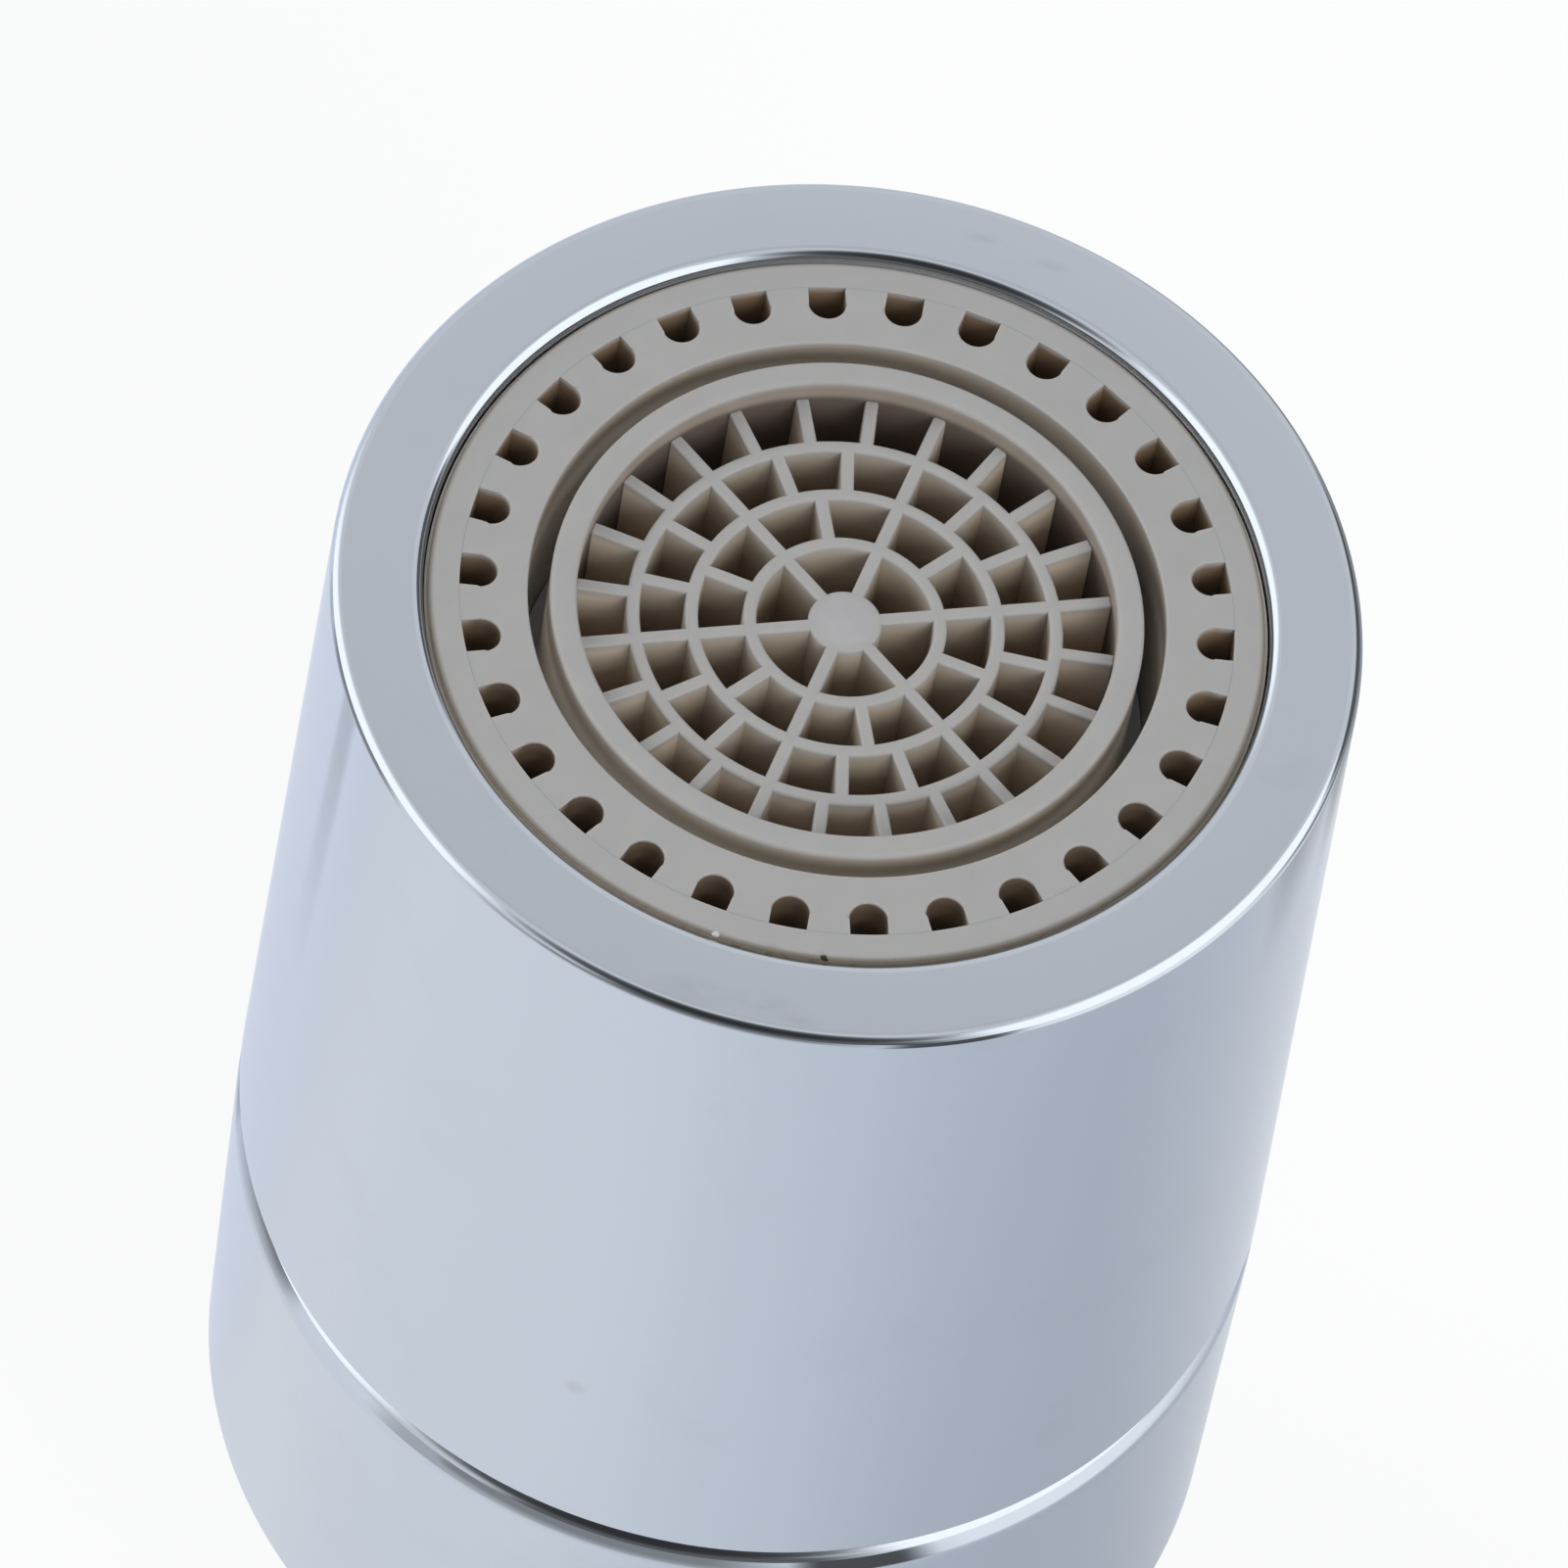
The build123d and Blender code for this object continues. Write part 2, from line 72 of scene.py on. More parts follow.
# %% [markdown]
# ## Measures
# Sizes are in millimetres, as a maker would write them, and a mesh is scaled to metres when it is done.
# All of them could be typed in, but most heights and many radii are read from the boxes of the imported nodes,
# so that a piece fits the solid it stands for. The rest, such as a bore or a round, is typed in.

# %% Measures from the frame
MM = 0.001


def reach(node):
    """Outer radius, foot and top of a round node, in millimetres."""
    low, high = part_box(node)
    return high.y / MM, low.z / MM, high.z / MM


SEAM_R, SEAM_Z, RIM_Z = reach("outlet_sleeve")
INSERT_R, SKIRT_Z, FACE_Z = reach("face_ring")
CUP_R, JET_TOP_Z, _ = reach("stream_cup")
print(f"rim at {RIM_Z:.2f} mm, face at {FACE_Z:.2f} mm, seam at {SEAM_Z:.2f} mm")

# %% [markdown]
# ## Camera
# A camera could be matched by eye. Here the thirty slots do it better: they are evenly spaced on a circle,
# so the way that circle is squeezed in the photograph gives the view. It is from well above, at arm's
# length with a long lens, and with the camera held a little askew.

# %% Camera
PHOTO_PX = 1601
FOCAL_PX = 15500
SENSOR_W = 36.0
CAMERA_BACK = 281.70   # in front of the face's centre
CAMERA_UP = 409.20     # above the face
AIM = (-0.98, -5.06, -3.40)   # where the lens points, from the face's centre
CAMERA_ROLL = math.radians(10.50)
NEAREST, FARTHEST = 10.0, 20000.0   # what the camera sees lies between these

face_centre = Vector((0, 0, FACE_Z))
spot = face_centre + Vector((0, -CAMERA_BACK, CAMERA_UP))
gaze = face_centre + Vector(AIM) - spot
lens = bpy.data.cameras.new("photo_camera")
lens.sensor_width = SENSOR_W
lens.lens = SENSOR_W * FOCAL_PX / PHOTO_PX
lens.clip_start, lens.clip_end = NEAREST * MM, FARTHEST * MM
camera = bpy.data.objects.new("photo_camera", lens)
camera.rotation_mode = "QUATERNION"
camera.location = spot * MM
camera.rotation_quaternion = gaze.to_track_quat("-Z", "Y") @ Quaternion((0, 0, 1), CAMERA_ROLL)
scene.collection.objects.link(camera)
scene.camera = camera
scene.view_settings.view_transform = "Standard"
print(f"lens {lens.lens:.0f} mm, {gaze.length:.0f} mm from the face")

# %% [markdown]
# ## Wiring shader nodes
# Nodes could be joined one link at a time, but shader sums read best as Python sums. A Wire holds one
# output socket: adding or multiplying Wires adds Math nodes, and its add method makes any other node, with
# its settings first and then its sockets.

# %% Wire
class Wire:
    """An output socket of a node tree that can be used in sums."""

    def __init__(self, tree, socket=None):
        self.tree = tree
        self.socket = socket

    def add(self, kind, settings=None, sockets=None, out=0):
        """A new node of that kind, its settings made first, as the Wire of one of its outputs."""
        node = self.tree.nodes.new(kind)
        for name, value in (settings or {}).items():
            setattr(node, name, value)
        for name, value in (sockets or {}).items():
            if isinstance(value, Wire):
                self.tree.links.new(value.socket, node.inputs[name])
            else:
                node.inputs[name].default_value = value
        return Wire(self.tree, node.outputs[out] if len(node.outputs) else None)

    def math(self, operation, first, second):
        """A Math node on two numbers or Wires."""
        return self.add("ShaderNodeMath", {"operation": operation}, {0: first, 1: second})

    def __add__(self, other):
        return self.math("ADD", self, other)

    def __radd__(self, other):
        return self.math("ADD", other, self)

    def __sub__(self, other):
        return self.math("SUBTRACT", self, other)

    def __rsub__(self, other):
        return self.math("SUBTRACT", other, self)

    def __mul__(self, other):
        return self.math("MULTIPLY", self, other)

    def __rmul__(self, other):
        return self.math("MULTIPLY", other, self)

    def rise(self, start, end):
        """0 below start, 1 above end, and a soft step between."""
        settings = {"interpolation_type": "SMOOTHSTEP"}
        return self.add("ShaderNodeMapRange", settings, {"Value": self, "From Min": start, "From Max": end})

    def tint(self, plain, full):
        """A colour that goes from plain to full as this value goes from 0 to 1."""
        return self.add("ShaderNodeMix", {"data_type": "RGBA"}, {0: self, 6: plain, 7: full}, out=2)


print("a Wire adds, subtracts and multiplies")

# %% [markdown]
# ## Room
# Polished plating has no look of its own: it shows the room. A picture of a studio could be wrapped round
# the scene, but soft patches of light and dark are easier to place. In the photograph the rim's rounds draw
# the room as a map: white windows at the left and the right front, a dark stretch in front and another at
# the right back. The world repeats that for glossy rays, is plain white to the camera, and gives a soft,
# slightly blue light to everything else.

# %% Patches of light and dark
def bearing(turn_deg, rise_deg):
    """Direction that many degrees round from +X and up from the floor."""
    turn, rise = math.radians(turn_deg), math.radians(rise_deg)
    return Vector((math.cos(turn) * math.cos(rise), math.sin(turn) * math.cos(rise), math.sin(rise)))


def towards(wire, ray, direction, near, far):
    """1 where a ray runs within near degrees of that direction, and 0 beyond far degrees."""
    settings = {"operation": "DOT_PRODUCT"}
    cosine = wire.add("ShaderNodeVectorMath", settings, {0: ray, 1: direction}, out="Value")
    return cosine.rise(math.cos(math.radians(far)), math.cos(math.radians(near)))


def patches(wire, ray, *spots):
    """The strongest of several soft round patches, each given as (turn, rise, near, far) in degrees."""
    strongest = 0.0
    for turn, rise, near, far in spots:
        strongest = wire.math("MAXIMUM", strongest, towards(wire, ray, bearing(turn, rise), near, far))
    return strongest


print("straight up:", [round(part, 3) for part in bearing(0, 90)])

# %% Room
def colour(red, green, blue):
    return (red, green, blue, 1.0)


def grey(level):
    return colour(level, level, level)


AMBIENT = colour(0.5828, 0.6076, 0.6572)   # light on all that isn't polished
TENT = 0.90            # brightness of the tent that the plating shows
CEILING = 0.75         # and of its top
WINDOW = 1.68
FAR_DARK = 0.14
FRONT_DIM = 0.17
FRONT_DARK = 0.05
ROOM_PATCHES = (       # brightness, and the patches that have it
    (CEILING, (90, 72, 10, 22)),
    (WINDOW, (175, 20, 24, 44), (331, 14, 18, 26), (335, 34, 18, 28), (0, 36, 22, 34), (352, 12, 20, 30)),
    (FAR_DARK, (42, 12, 13, 23)),
    (FRONT_DIM, (262, 41, 22, 41), (270, 6, 24, 38)),
    (FRONT_DARK, (265, 38, 6, 31)))

world = bpy.data.worlds.new("studio_room")
world.use_nodes = True
world.node_tree.nodes.clear()
scene.world = world
room = Wire(world.node_tree)
ray = room.add("ShaderNodeTexCoord", out="Generated")
tent = grey(TENT)
for level, *spots in ROOM_PATCHES:
    tent = patches(room, ray, *spots).tint(tent, grey(level))
is_camera = room.add("ShaderNodeLightPath", out="Is Camera Ray")
is_glossy = room.add("ShaderNodeLightPath", out="Is Glossy Ray")
is_through = room.add("ShaderNodeLightPath", out="Is Transmission Ray")
sky = is_glossy.tint(AMBIENT, tent)
sky = room.math("MAXIMUM", is_camera, is_through).tint(sky, grey(1.0))
room.add("ShaderNodeOutputWorld", None, {"Surface": room.add("ShaderNodeBackground", None, {"Color": sky})})
print("room nodes:", len(world.node_tree.nodes))

# %% [markdown]
# ## Floor
# The floor is a wide pale sheet. To the camera it is mostly plain white, with a share of real shading left
# in, so that the object keeps its shadow. The upright plating shows the sheet and not the room, so the
# sheet has tones of its own there: away from the aerator it fades into the dim room, except in three
# directions, it glows at the right, and a few dim spots draw the soft upright bands of the sleeve. A real
# studio would do this with cards on the table. Here each spot is a turn about the axis and a distance.

# %% Tones of the sheet
FLOOR_PALE = 0.90
WHITE_TO_CAMERA = 0.86         # share of plain white in what the camera sees
WHITE_IN_PLATING = 0.20        # and in what the plating shows
SHEET_TONE = colour(0.96, 1.00, 1.06)    # its colour in the plating
SHEET_TONES = (                # colours towards the left front, the left back and the right
    (colour(1.52, 1.50, 1.48), (222, 0, 20, 55)),
    (colour(0.88, 1.04, 1.44), (135, 0, 20, 45)),
    (colour(0.28, 0.34, 0.44), (2, 0, 50, 88)))
SHEET_FADES = (40, 260)        # from here to there, in the plating
SHEET_LIT = (325, 0, 25, 50), (120, 0, 35, 55), (206, 0, 13, 25)   # except towards these
SHEET_DIM = 0.36
GLOW = 1.32
GLOW_SPOT = (352, 0, 28, 46)
GLOW_FROM = (56, 110)
SHADOW = 0.12                  # the darkest spot, at the right front
SHADOW_SPOT = (302, 0, 6, 14)
SHADOW_FROM = (62, 90)
BACK_SHADOW_SPOT = (82, 0, 8, 26)     # painted shadow of the aerator at the back, between two distances
BACK_FROM = (15, 45)
BACK_TO = (60, 140)
DIM_SPOTS = {                  # strength, spot, and the distances where it starts and is full
    "right side": (0.65, (40, 0, 8, 22), (48.5, 54.5)),
    "right back": (1.00, (58, 0, 4, 16), (45.5, 51.5)),
    "left end": (1.00, (177, 0, 8, 18), (50, 140)),
    "left streak": (0.42, (158.7, 0, 0.5, 5), (40, 56)),
    "left front": (0.60, (230, 0, 7, 18), (100, 140))}
print("dim spots:", list(DIM_SPOTS))


# %% Floor finish
def new_finish(name):
    """An empty material, and a Wire to build it with."""
    finish = bpy.data.materials.new(name)
    finish.use_nodes = True
    finish.node_tree.nodes.clear()
    return finish, Wire(finish.node_tree)


def shine(wire, shade):
    """A surface that only glows in that colour."""
    return wire.add("ShaderNodeEmission", None, {"Color": shade, "Strength": 1.0})


def blend(wire, share, first, second):
    """Two surfaces mixed, with that share of the second."""
    return wire.add("ShaderNodeMixShader", None, {0: share, 1: first, 2: second})


def floor_sheet():
    """White to the camera but for some real shading, and toned where the plating shows it."""
    finish, wire = new_finish("pale_floor")
    seen = wire.add("ShaderNodeLightPath", out="Is Camera Ray")
    mirrored = wire.add("ShaderNodeLightPath", out="Is Glossy Ray")
    place = wire.add("ShaderNodeTexCoord", out="Object")
    heading = wire.add("ShaderNodeVectorMath", {"operation": "NORMALIZE"}, {0: place})
    away = (1.0 / MM) * wire.add("ShaderNodeVectorMath", {"operation": "LENGTH"}, {0: place}, out="Value")
    tone = SHEET_TONE
    for shade, spot in SHEET_TONES:
        tone = patches(wire, heading, spot).tint(tone, shade)
    shadow = patches(wire, heading, SHADOW_SPOT) * away.rise(*SHADOW_FROM)
    # painted shadow of the aerator, shown only in the plating
    back = patches(wire, heading, BACK_SHADOW_SPOT) * away.rise(*BACK_FROM) * (1.0 - away.rise(*BACK_TO))
    glow = patches(wire, heading, GLOW_SPOT) * away.rise(*GLOW_FROM)
    fade = away.rise(*SHEET_FADES) * (1.0 - patches(wire, heading, *SHEET_LIT))
    dims = [strength * patches(wire, heading, spot) * away.rise(*span)
            for strength, spot, span in DIM_SPOTS.values()]
    for dim in [shadow, back] + dims:
        fade = wire.math("MAXIMUM", fade, dim)
    shaded = wire.add("ShaderNodeBsdfDiffuse", None, {"Color": grey(FLOOR_PALE)})
    white = shine(wire, mirrored.tint(grey(1.0), tone))
    sheet = blend(wire, WHITE_TO_CAMERA * seen + WHITE_IN_PLATING * mirrored, shaded, white)
    sheet = blend(wire, mirrored * glow, sheet, shine(wire, grey(GLOW)))
    sheet = blend(wire, mirrored * fade, sheet, shine(wire, shadow.tint(grey(SHEET_DIM), grey(SHADOW))))
    wire.add("ShaderNodeOutputMaterial", None, {"Surface": sheet})
    return finish


floor_finish = floor_sheet()
print("floor nodes:", len(floor_finish.node_tree.nodes))

# %% Floor
FLOOR_HALF = 3000.0

bm = bmesh.new()
bmesh.ops.create_grid(bm, x_segments=1, y_segments=1, size=FLOOR_HALF * MM)
mesh = bpy.data.meshes.new("floor")
bm.to_mesh(mesh)
bm.free()
mesh.materials.append(floor_finish)
floor = bpy.data.objects.new("floor", mesh)
scene.collection.objects.link(floor)
print("floor:", [round(side, 2) for side in floor.dimensions], "m")

# %% [markdown]
# ## Lamps
# Two large soft lamps stand for the windows' light on the plastic, one at the left and one at the right
# front. A single one would light the cells and slots from one side only. The plating doesn't show them,
# because its windows are already in the room.

# %% Lamps
LAMPS = {"left_lamp": ((-620, 200, 340), 500, 2.4),      # place, side and watts
         "front_lamp": ((360, -540, 420), 440, 2.9)}

for name, (stand, side, watts) in LAMPS.items():
    lamp = bpy.data.lights.new(name, "AREA")
    lamp.size = side * MM
    lamp.energy = watts
    holder = bpy.data.objects.new(name, lamp)
    holder.location = Vector(stand) * MM
    holder.rotation_mode = "QUATERNION"
    holder.rotation_quaternion = (face_centre * MM - holder.location).to_track_quat("-Z", "Y")
    holder.visible_glossy = False
    scene.collection.objects.link(holder)

# %% [markdown]
# ## Polished plating
# Bright chromium gives back a little over half of the light, with a cold tint. A plain mirror would look
# like a drawing. What makes it real is how little it varies: a thin film of dried water here and there,
# a dull finger mark on the sleeve, marks on the rim where it was wiped, and a trace of waviness from the
# buffing.

# %% Plating
CHROME = colour(0.522, 0.568, 0.632)
FILMED = colour(0.508, 0.552, 0.612)
DULLED = colour(0.470, 0.500, 0.545)
FILM = (140, 5.0, 0.6), (0.52, 0.74)      # scale, detail and roughness of a cloud, and where it sets in
SPOTS = (900, 2.0, 0.5), (0.62, 0.72)
SMEAR = (210, 4.0, 0.65), (0.60, 0.74)
STREAKS = (900, 3.0, 0.6), (0.34, 0.62)
WAVES = (420, 2.0, 0.5)
WAVE_STRENGTH, WAVE_DEEP = 0.02, 0.1
POLISH_ROUGH, FILM_ROUGH, SPOT_ROUGH = 0.045, 0.05, 0.03
SMEAR_SHARE, FINGER_SHARE, MARK_SHARE = 0.20, 0.80, 0.75
FINGER_MARK = (-4.12, -17.07, 40.5)
FINGER_MARK_R = (0.1, 0.5)
RIM_MARKS = (                             # x, y and spread
    (-2.6, -16.0, 0.9), (-0.5, -16.0, 0.8), (0.9, -16.3, 0.5), (2.1, 15.5, 0.4), (4.5, 14.9, 0.4))
WIPED = Vector((0.45, 1.2, 1.0))          # the marks on the rim are drawn out along X


def noise(wire, place, scale, detail, rough):
    """Cloudy noise between about 0.3 and 0.7, finer for a larger scale."""
    grain = {"Vector": place, "Scale": scale, "Detail": detail, "Roughness": rough}
    return wire.add("ShaderNodeTexNoise", None, grain, out="Fac")


def cloud(wire, place, grain, levels):
    """Noise that is 0 below the first level and 1 above the second."""
    return noise(wire, place, *grain).rise(*levels)


def bumps(wire, height, strength, deep):
    """Fine bumps of that depth in millimetres, for the Normal of a finish."""
    return wire.add("ShaderNodeBump", None, {"Strength": strength, "Distance": deep * MM, "Height": height})


def distance_from(wire, place, spot):
    """Distance from a spot, both in millimetres."""
    ends = {0: place, 1: Vector(spot) * MM}
    return (1.0 / MM) * wire.add("ShaderNodeVectorMath", {"operation": "DISTANCE"}, ends, out="Value")


def close_finish(finish, wire, sockets):
    """Joins a principled shader to the material's output."""
    shader = wire.add("ShaderNodeBsdfPrincipled", None, sockets)
    wire.add("ShaderNodeOutputMaterial", None, {"Surface": shader})
    return finish


def plating():
    """Chromium with its film of dried water, its finger mark and the wiped marks on the rim."""
    finish, wire = new_finish("polished_plating")
    place = wire.add("ShaderNodeTexCoord", out="Object")
    film = cloud(wire, place, *FILM)
    finger_mark = 1.0 - distance_from(wire, place, FINGER_MARK).rise(*FINGER_MARK_R)
    dull = wire.math("MAXIMUM", SMEAR_SHARE * cloud(wire, place, *SMEAR), FINGER_SHARE * finger_mark)
    wiped = wire.add("ShaderNodeVectorMath", {"operation": "MULTIPLY"}, {0: place, 1: WIPED})
    streaks = cloud(wire, wiped, *STREAKS)
    for x, y, spread in RIM_MARKS:
        mark = 1.0 - distance_from(wire, wiped, WIPED * Vector((x, y, RIM_Z))).rise(0.0, spread)
        dull = wire.math("MAXIMUM", dull, MARK_SHARE * mark * streaks)
    shown = dull.tint(film.tint(CHROME, FILMED), DULLED)
    rough = POLISH_ROUGH + FILM_ROUGH * film + SPOT_ROUGH * cloud(wire, place, *SPOTS)
    waves = bumps(wire, noise(wire, place, *WAVES), WAVE_STRENGTH, WAVE_DEEP)
    return close_finish(finish, wire, {"Base Color": shown, "Metallic": 1.0, "Normal": waves,
                                       "Roughness": rough})


FINISHES = {"chrome": plating()}
print("finishes:", list(FINISHES))

# %% [markdown]
# ## Moulded face
# The insert is a grey plastic with a satin skin that lets a little light in. The light that bounces from wall
# to wall in the cells and comes back browner is painted into the colour: painted cream bounce light under the
# ribs' tops, painted tan bounce light below, and painted dark brown shade in the cup and the slots. One colour
# for all would leave the holes grey, so each zone has layers of painted light and shade: a colour sets in
# between two depths below the face, or below the ribs' tops.

# %% Colours of the insert, with painted light and shade
GRILLE_DROP = 0.86     # the ribs' tops lie this far below the face
OUTER_CELLS_R = (6.93, 6.98)           # the outermost cells' colours set in between these radii,
CUP_WALL_R = (8.84, 8.87)              # the cup wall's between these,
GAP_R = (CUP_R - 0.2, CUP_R - 0.1)     # then the ring gap's
SLOTS_R = (11.0, 11.1)                 # and the slots'
SLOT_ENDS_R = (12.2, 12.7)
SKIN_GRAIN = (700, 4.0, 0.6)
SKIN_DARK, SKIN_PALE = colour(0.350, 0.342, 0.326), colour(0.392, 0.383, 0.365)
HUB_MARK = colour(0.430, 0.420, 0.425)    # where the melt came in
HUB_GRAIN = (2200, 3.0, 0.6)
HUB_MARK_R = (0.8, 1.2)
# painted bounce light: the cells' walls turn cream, then tan, below the ribs' tops, paler in the outer cells
INNER_CELLS_PAINTED_LIGHT = ((0.02, 0.50), colour(0.40, 0.340, 0.265)), ((0.50, 2.20), colour(0.46, 0.365, 0.265))
OUTER_CELLS_PAINTED_LIGHT = ((0.02, 0.50), colour(0.56, 0.475, 0.370)), ((0.50, 2.20), colour(0.68, 0.545, 0.400))
# painted shade: the cup's inner wall turns brown, then dark brown, with depth
CUP_INSIDE_PAINTED_SHADE = ((0.05, 0.40), colour(0.32, 0.275, 0.225)), ((0.60, 0.95), colour(0.165, 0.130, 0.108))
# painted shade at the top of the ring gap, painted bounce light deeper down, and painted shade on one side of
# it
GAP_TOP_PAINTED_SHADE = ((0.02, 0.40), colour(0.35, 0.300, 0.240))
GAP_DEPTH = (0.60, 1.60)
GAP_PAINTED_BOUNCE, GAP_PAINTED_SHADE = colour(0.95, 0.890, 0.800), colour(0.40, 0.365, 0.325)
GAP_SHADED_SIDE = (50, 0, 18, 42)
# painted shade: the slots' walls turn dark brown, darkest just below the skin in the near slots
SLOT_WALL_PAINTED_SHADE = ((0.00, 0.40), colour(0.245, 0.170, 0.108))
NEAR_SLOT_PAINTED_SHADE = colour(0.130, 0.094, 0.064)   # the near slots are darkest just below the skin
NEAR_SLOT_FROM, NEAR_SLOT_TO = (0.02, 0.14), (0.45, 1.15)
NEAR_SIDE = (-5.0, 2.0)


def layers(depth, shade, *steps):
    """A colour that changes with depth: each step is the depths where it sets in, and its colour."""
    for span, full in steps:
        shade = depth.rise(*span).tint(shade, full)
    return shade


def insert_colour_and_painted_light(wire, place, depth, from_axis, front):
    """The insert's colour with its painted light and shade, from the hub out to the slots."""
    skin = noise(wire, place, *SKIN_GRAIN).tint(SKIN_DARK, SKIN_PALE)
    hub_mark = noise(wire, place, *HUB_GRAIN) * (1.0 - from_axis.rise(*HUB_MARK_R))
    skin = hub_mark.tint(skin, HUB_MARK)
    inner_cells_painted_light = layers(depth - GRILLE_DROP, skin, *INNER_CELLS_PAINTED_LIGHT)
    outer_cells_painted_light = layers(depth - GRILLE_DROP, skin, *OUTER_CELLS_PAINTED_LIGHT)
    flat = wire.add("ShaderNodeVectorMath", {"operation": "MULTIPLY"}, {0: place, 1: (1, 1, 0)})
    heading = wire.add("ShaderNodeVectorMath", {"operation": "NORMALIZE"}, {0: flat})
    gap_floor_painted_light = patches(wire, heading, GAP_SHADED_SIDE).tint(GAP_PAINTED_BOUNCE, GAP_PAINTED_SHADE)
    # painted shade in the near slots, just below the skin
    near = (1.0 - from_axis.rise(*SLOT_ENDS_R)) * (1.0 - front.rise(*NEAR_SIDE))
    near = near * depth.rise(*NEAR_SLOT_FROM) * (1.0 - depth.rise(*NEAR_SLOT_TO))
    zones = ((OUTER_CELLS_R, outer_cells_painted_light),
             (CUP_WALL_R, layers(depth, skin, *CUP_INSIDE_PAINTED_SHADE)),
             (GAP_R, layers(depth, skin, GAP_TOP_PAINTED_SHADE, (GAP_DEPTH, gap_floor_painted_light))),
             (SLOTS_R, near.tint(layers(depth, skin, SLOT_WALL_PAINTED_SHADE), NEAR_SLOT_PAINTED_SHADE)))
    shown = inner_cells_painted_light
    for span, shade in zones:
        shown = from_axis.rise(*span).tint(shown, shade)
    return shown


print("layers in the cells:", len(INNER_CELLS_PAINTED_LIGHT), "and in the cup:", len(CUP_INSIDE_PAINTED_SHADE))

# %% [markdown]
# Grit and scale gather where the insert meets the rim, most of all on the near side. Scale is a cloud that
# is let in near the edge only, with one thicker smear. The two grains of grit are too small to model, so
# each is a spot with a ragged outline. The insert's edge is darker next to the rim. Down in the joint the
# plastic is painted paler, as painted light, most of all on the far side, or it would look like a slit.

# %% Dirt and painted light in the joint
JOINT_R = 13.74        # the joint with the rim starts here
JOINT_SOFT = 0.02
EDGE_DARKER_W = 0.16        # and the edge is darker this far in
EDGE_DARKER = colour(0.21, 0.185, 0.150)
# painted light down in the joint, paler on the far side
JOINT_DEPTH = (0.08, 0.16)
JOINT_NEAR_PAINTED_LIGHT, JOINT_FAR_PAINTED_LIGHT = colour(0.46, 0.400, 0.320), colour(0.86, 0.810, 0.740)
JOINT_Y = (-6.0, 8.0)
SCALE = colour(0.24, 0.185, 0.115)
SCALE_CLOUD = (1300, 3.0, 0.7), (0.52, 0.64)
SCALE_R = (13.45, 13.75)
SCALE_Y = (-13.45, -13.0)
SCALE_SHARE, CRUST_SHARE = 0.7, 0.6
CRUST = (-0.25, -13.62, FACE_Z - 0.03)    # a smear of scale
CRUST_R = (0.1, 0.42)
CRUST_CLOUD = (2600, 3.0, 0.7), (0.36, 0.60)
GRAINS = (                                # place, radius and colour of each grain of grit
    ((1.38, -13.69, FACE_Z - 0.05), 0.16, colour(0.015, 0.013, 0.012)),
    ((-2.22, -13.58, FACE_Z - 0.05), 0.13, colour(0.56, 0.52, 0.51)))
GRAIN_CORE = 0.6       # share of a grain's radius that is full
RAGGED = 0.25          # its outline wanders by up to half of this
RAGGED_GRAIN = (4000, 2.0, 0.5)
NOISE_MIDDLE = 0.5


def joint_dirt_and_painted_light(wire, place, depth, from_axis, front, clean):
    """The insert's colour with the dirt, the darker edge and the painted light of the joint on it, and where
    the scale is.
    """
    darker_edge = from_axis.rise(JOINT_R - EDGE_DARKER_W, JOINT_R).tint(clean, EDGE_DARKER)
    in_joint = from_axis.rise(JOINT_R - JOINT_SOFT, JOINT_R) * depth.rise(*JOINT_DEPTH)
    shown = in_joint.tint(darker_edge, front.rise(*JOINT_Y).tint(JOINT_NEAR_PAINTED_LIGHT, JOINT_FAR_PAINTED_LIGHT))
    edge = from_axis.rise(*SCALE_R)
    scale = SCALE_SHARE * cloud(wire, place, *SCALE_CLOUD) * edge * (1.0 - front.rise(*SCALE_Y))
    crust = (1.0 - distance_from(wire, place, CRUST).rise(*CRUST_R)) * cloud(wire, place, *CRUST_CLOUD) * edge
    scale = wire.math("MAXIMUM", scale, CRUST_SHARE * crust)
    shown = scale.tint(shown, SCALE)
    ragged = RAGGED * (noise(wire, place, *RAGGED_GRAIN) - NOISE_MIDDLE)
    for spot, radius, shade in GRAINS:
        off = distance_from(wire, place, spot) + ragged
        shown = (1.0 - off.rise(GRAIN_CORE * radius, radius)).tint(shown, shade)
    return shown, scale


print("grains of grit:", len(GRAINS))

# %% [markdown]
# The plastic itself is one principled shader. Colour and gloss alone would look like paint, so part of the
# light goes in and comes out again close by, redder than it went in, and a fine grain breaks the gloss.

# %% Face plastic
FACE_GRAIN = (5200, 2.0, 0.5)
GRAIN_STRENGTH, GRAIN_DEEP = 0.06, 0.04
SATIN_ROUGH, MOTTLE_ROUGH, SCALE_ROUGH = 0.46, 0.12, 0.2
LIGHT_INSIDE = 0.25               # share of the light that goes into the plastic
LIGHT_SPREAD = (1.0, 0.65, 0.40)  # red goes furthest
LIGHT_DEEP = 0.6


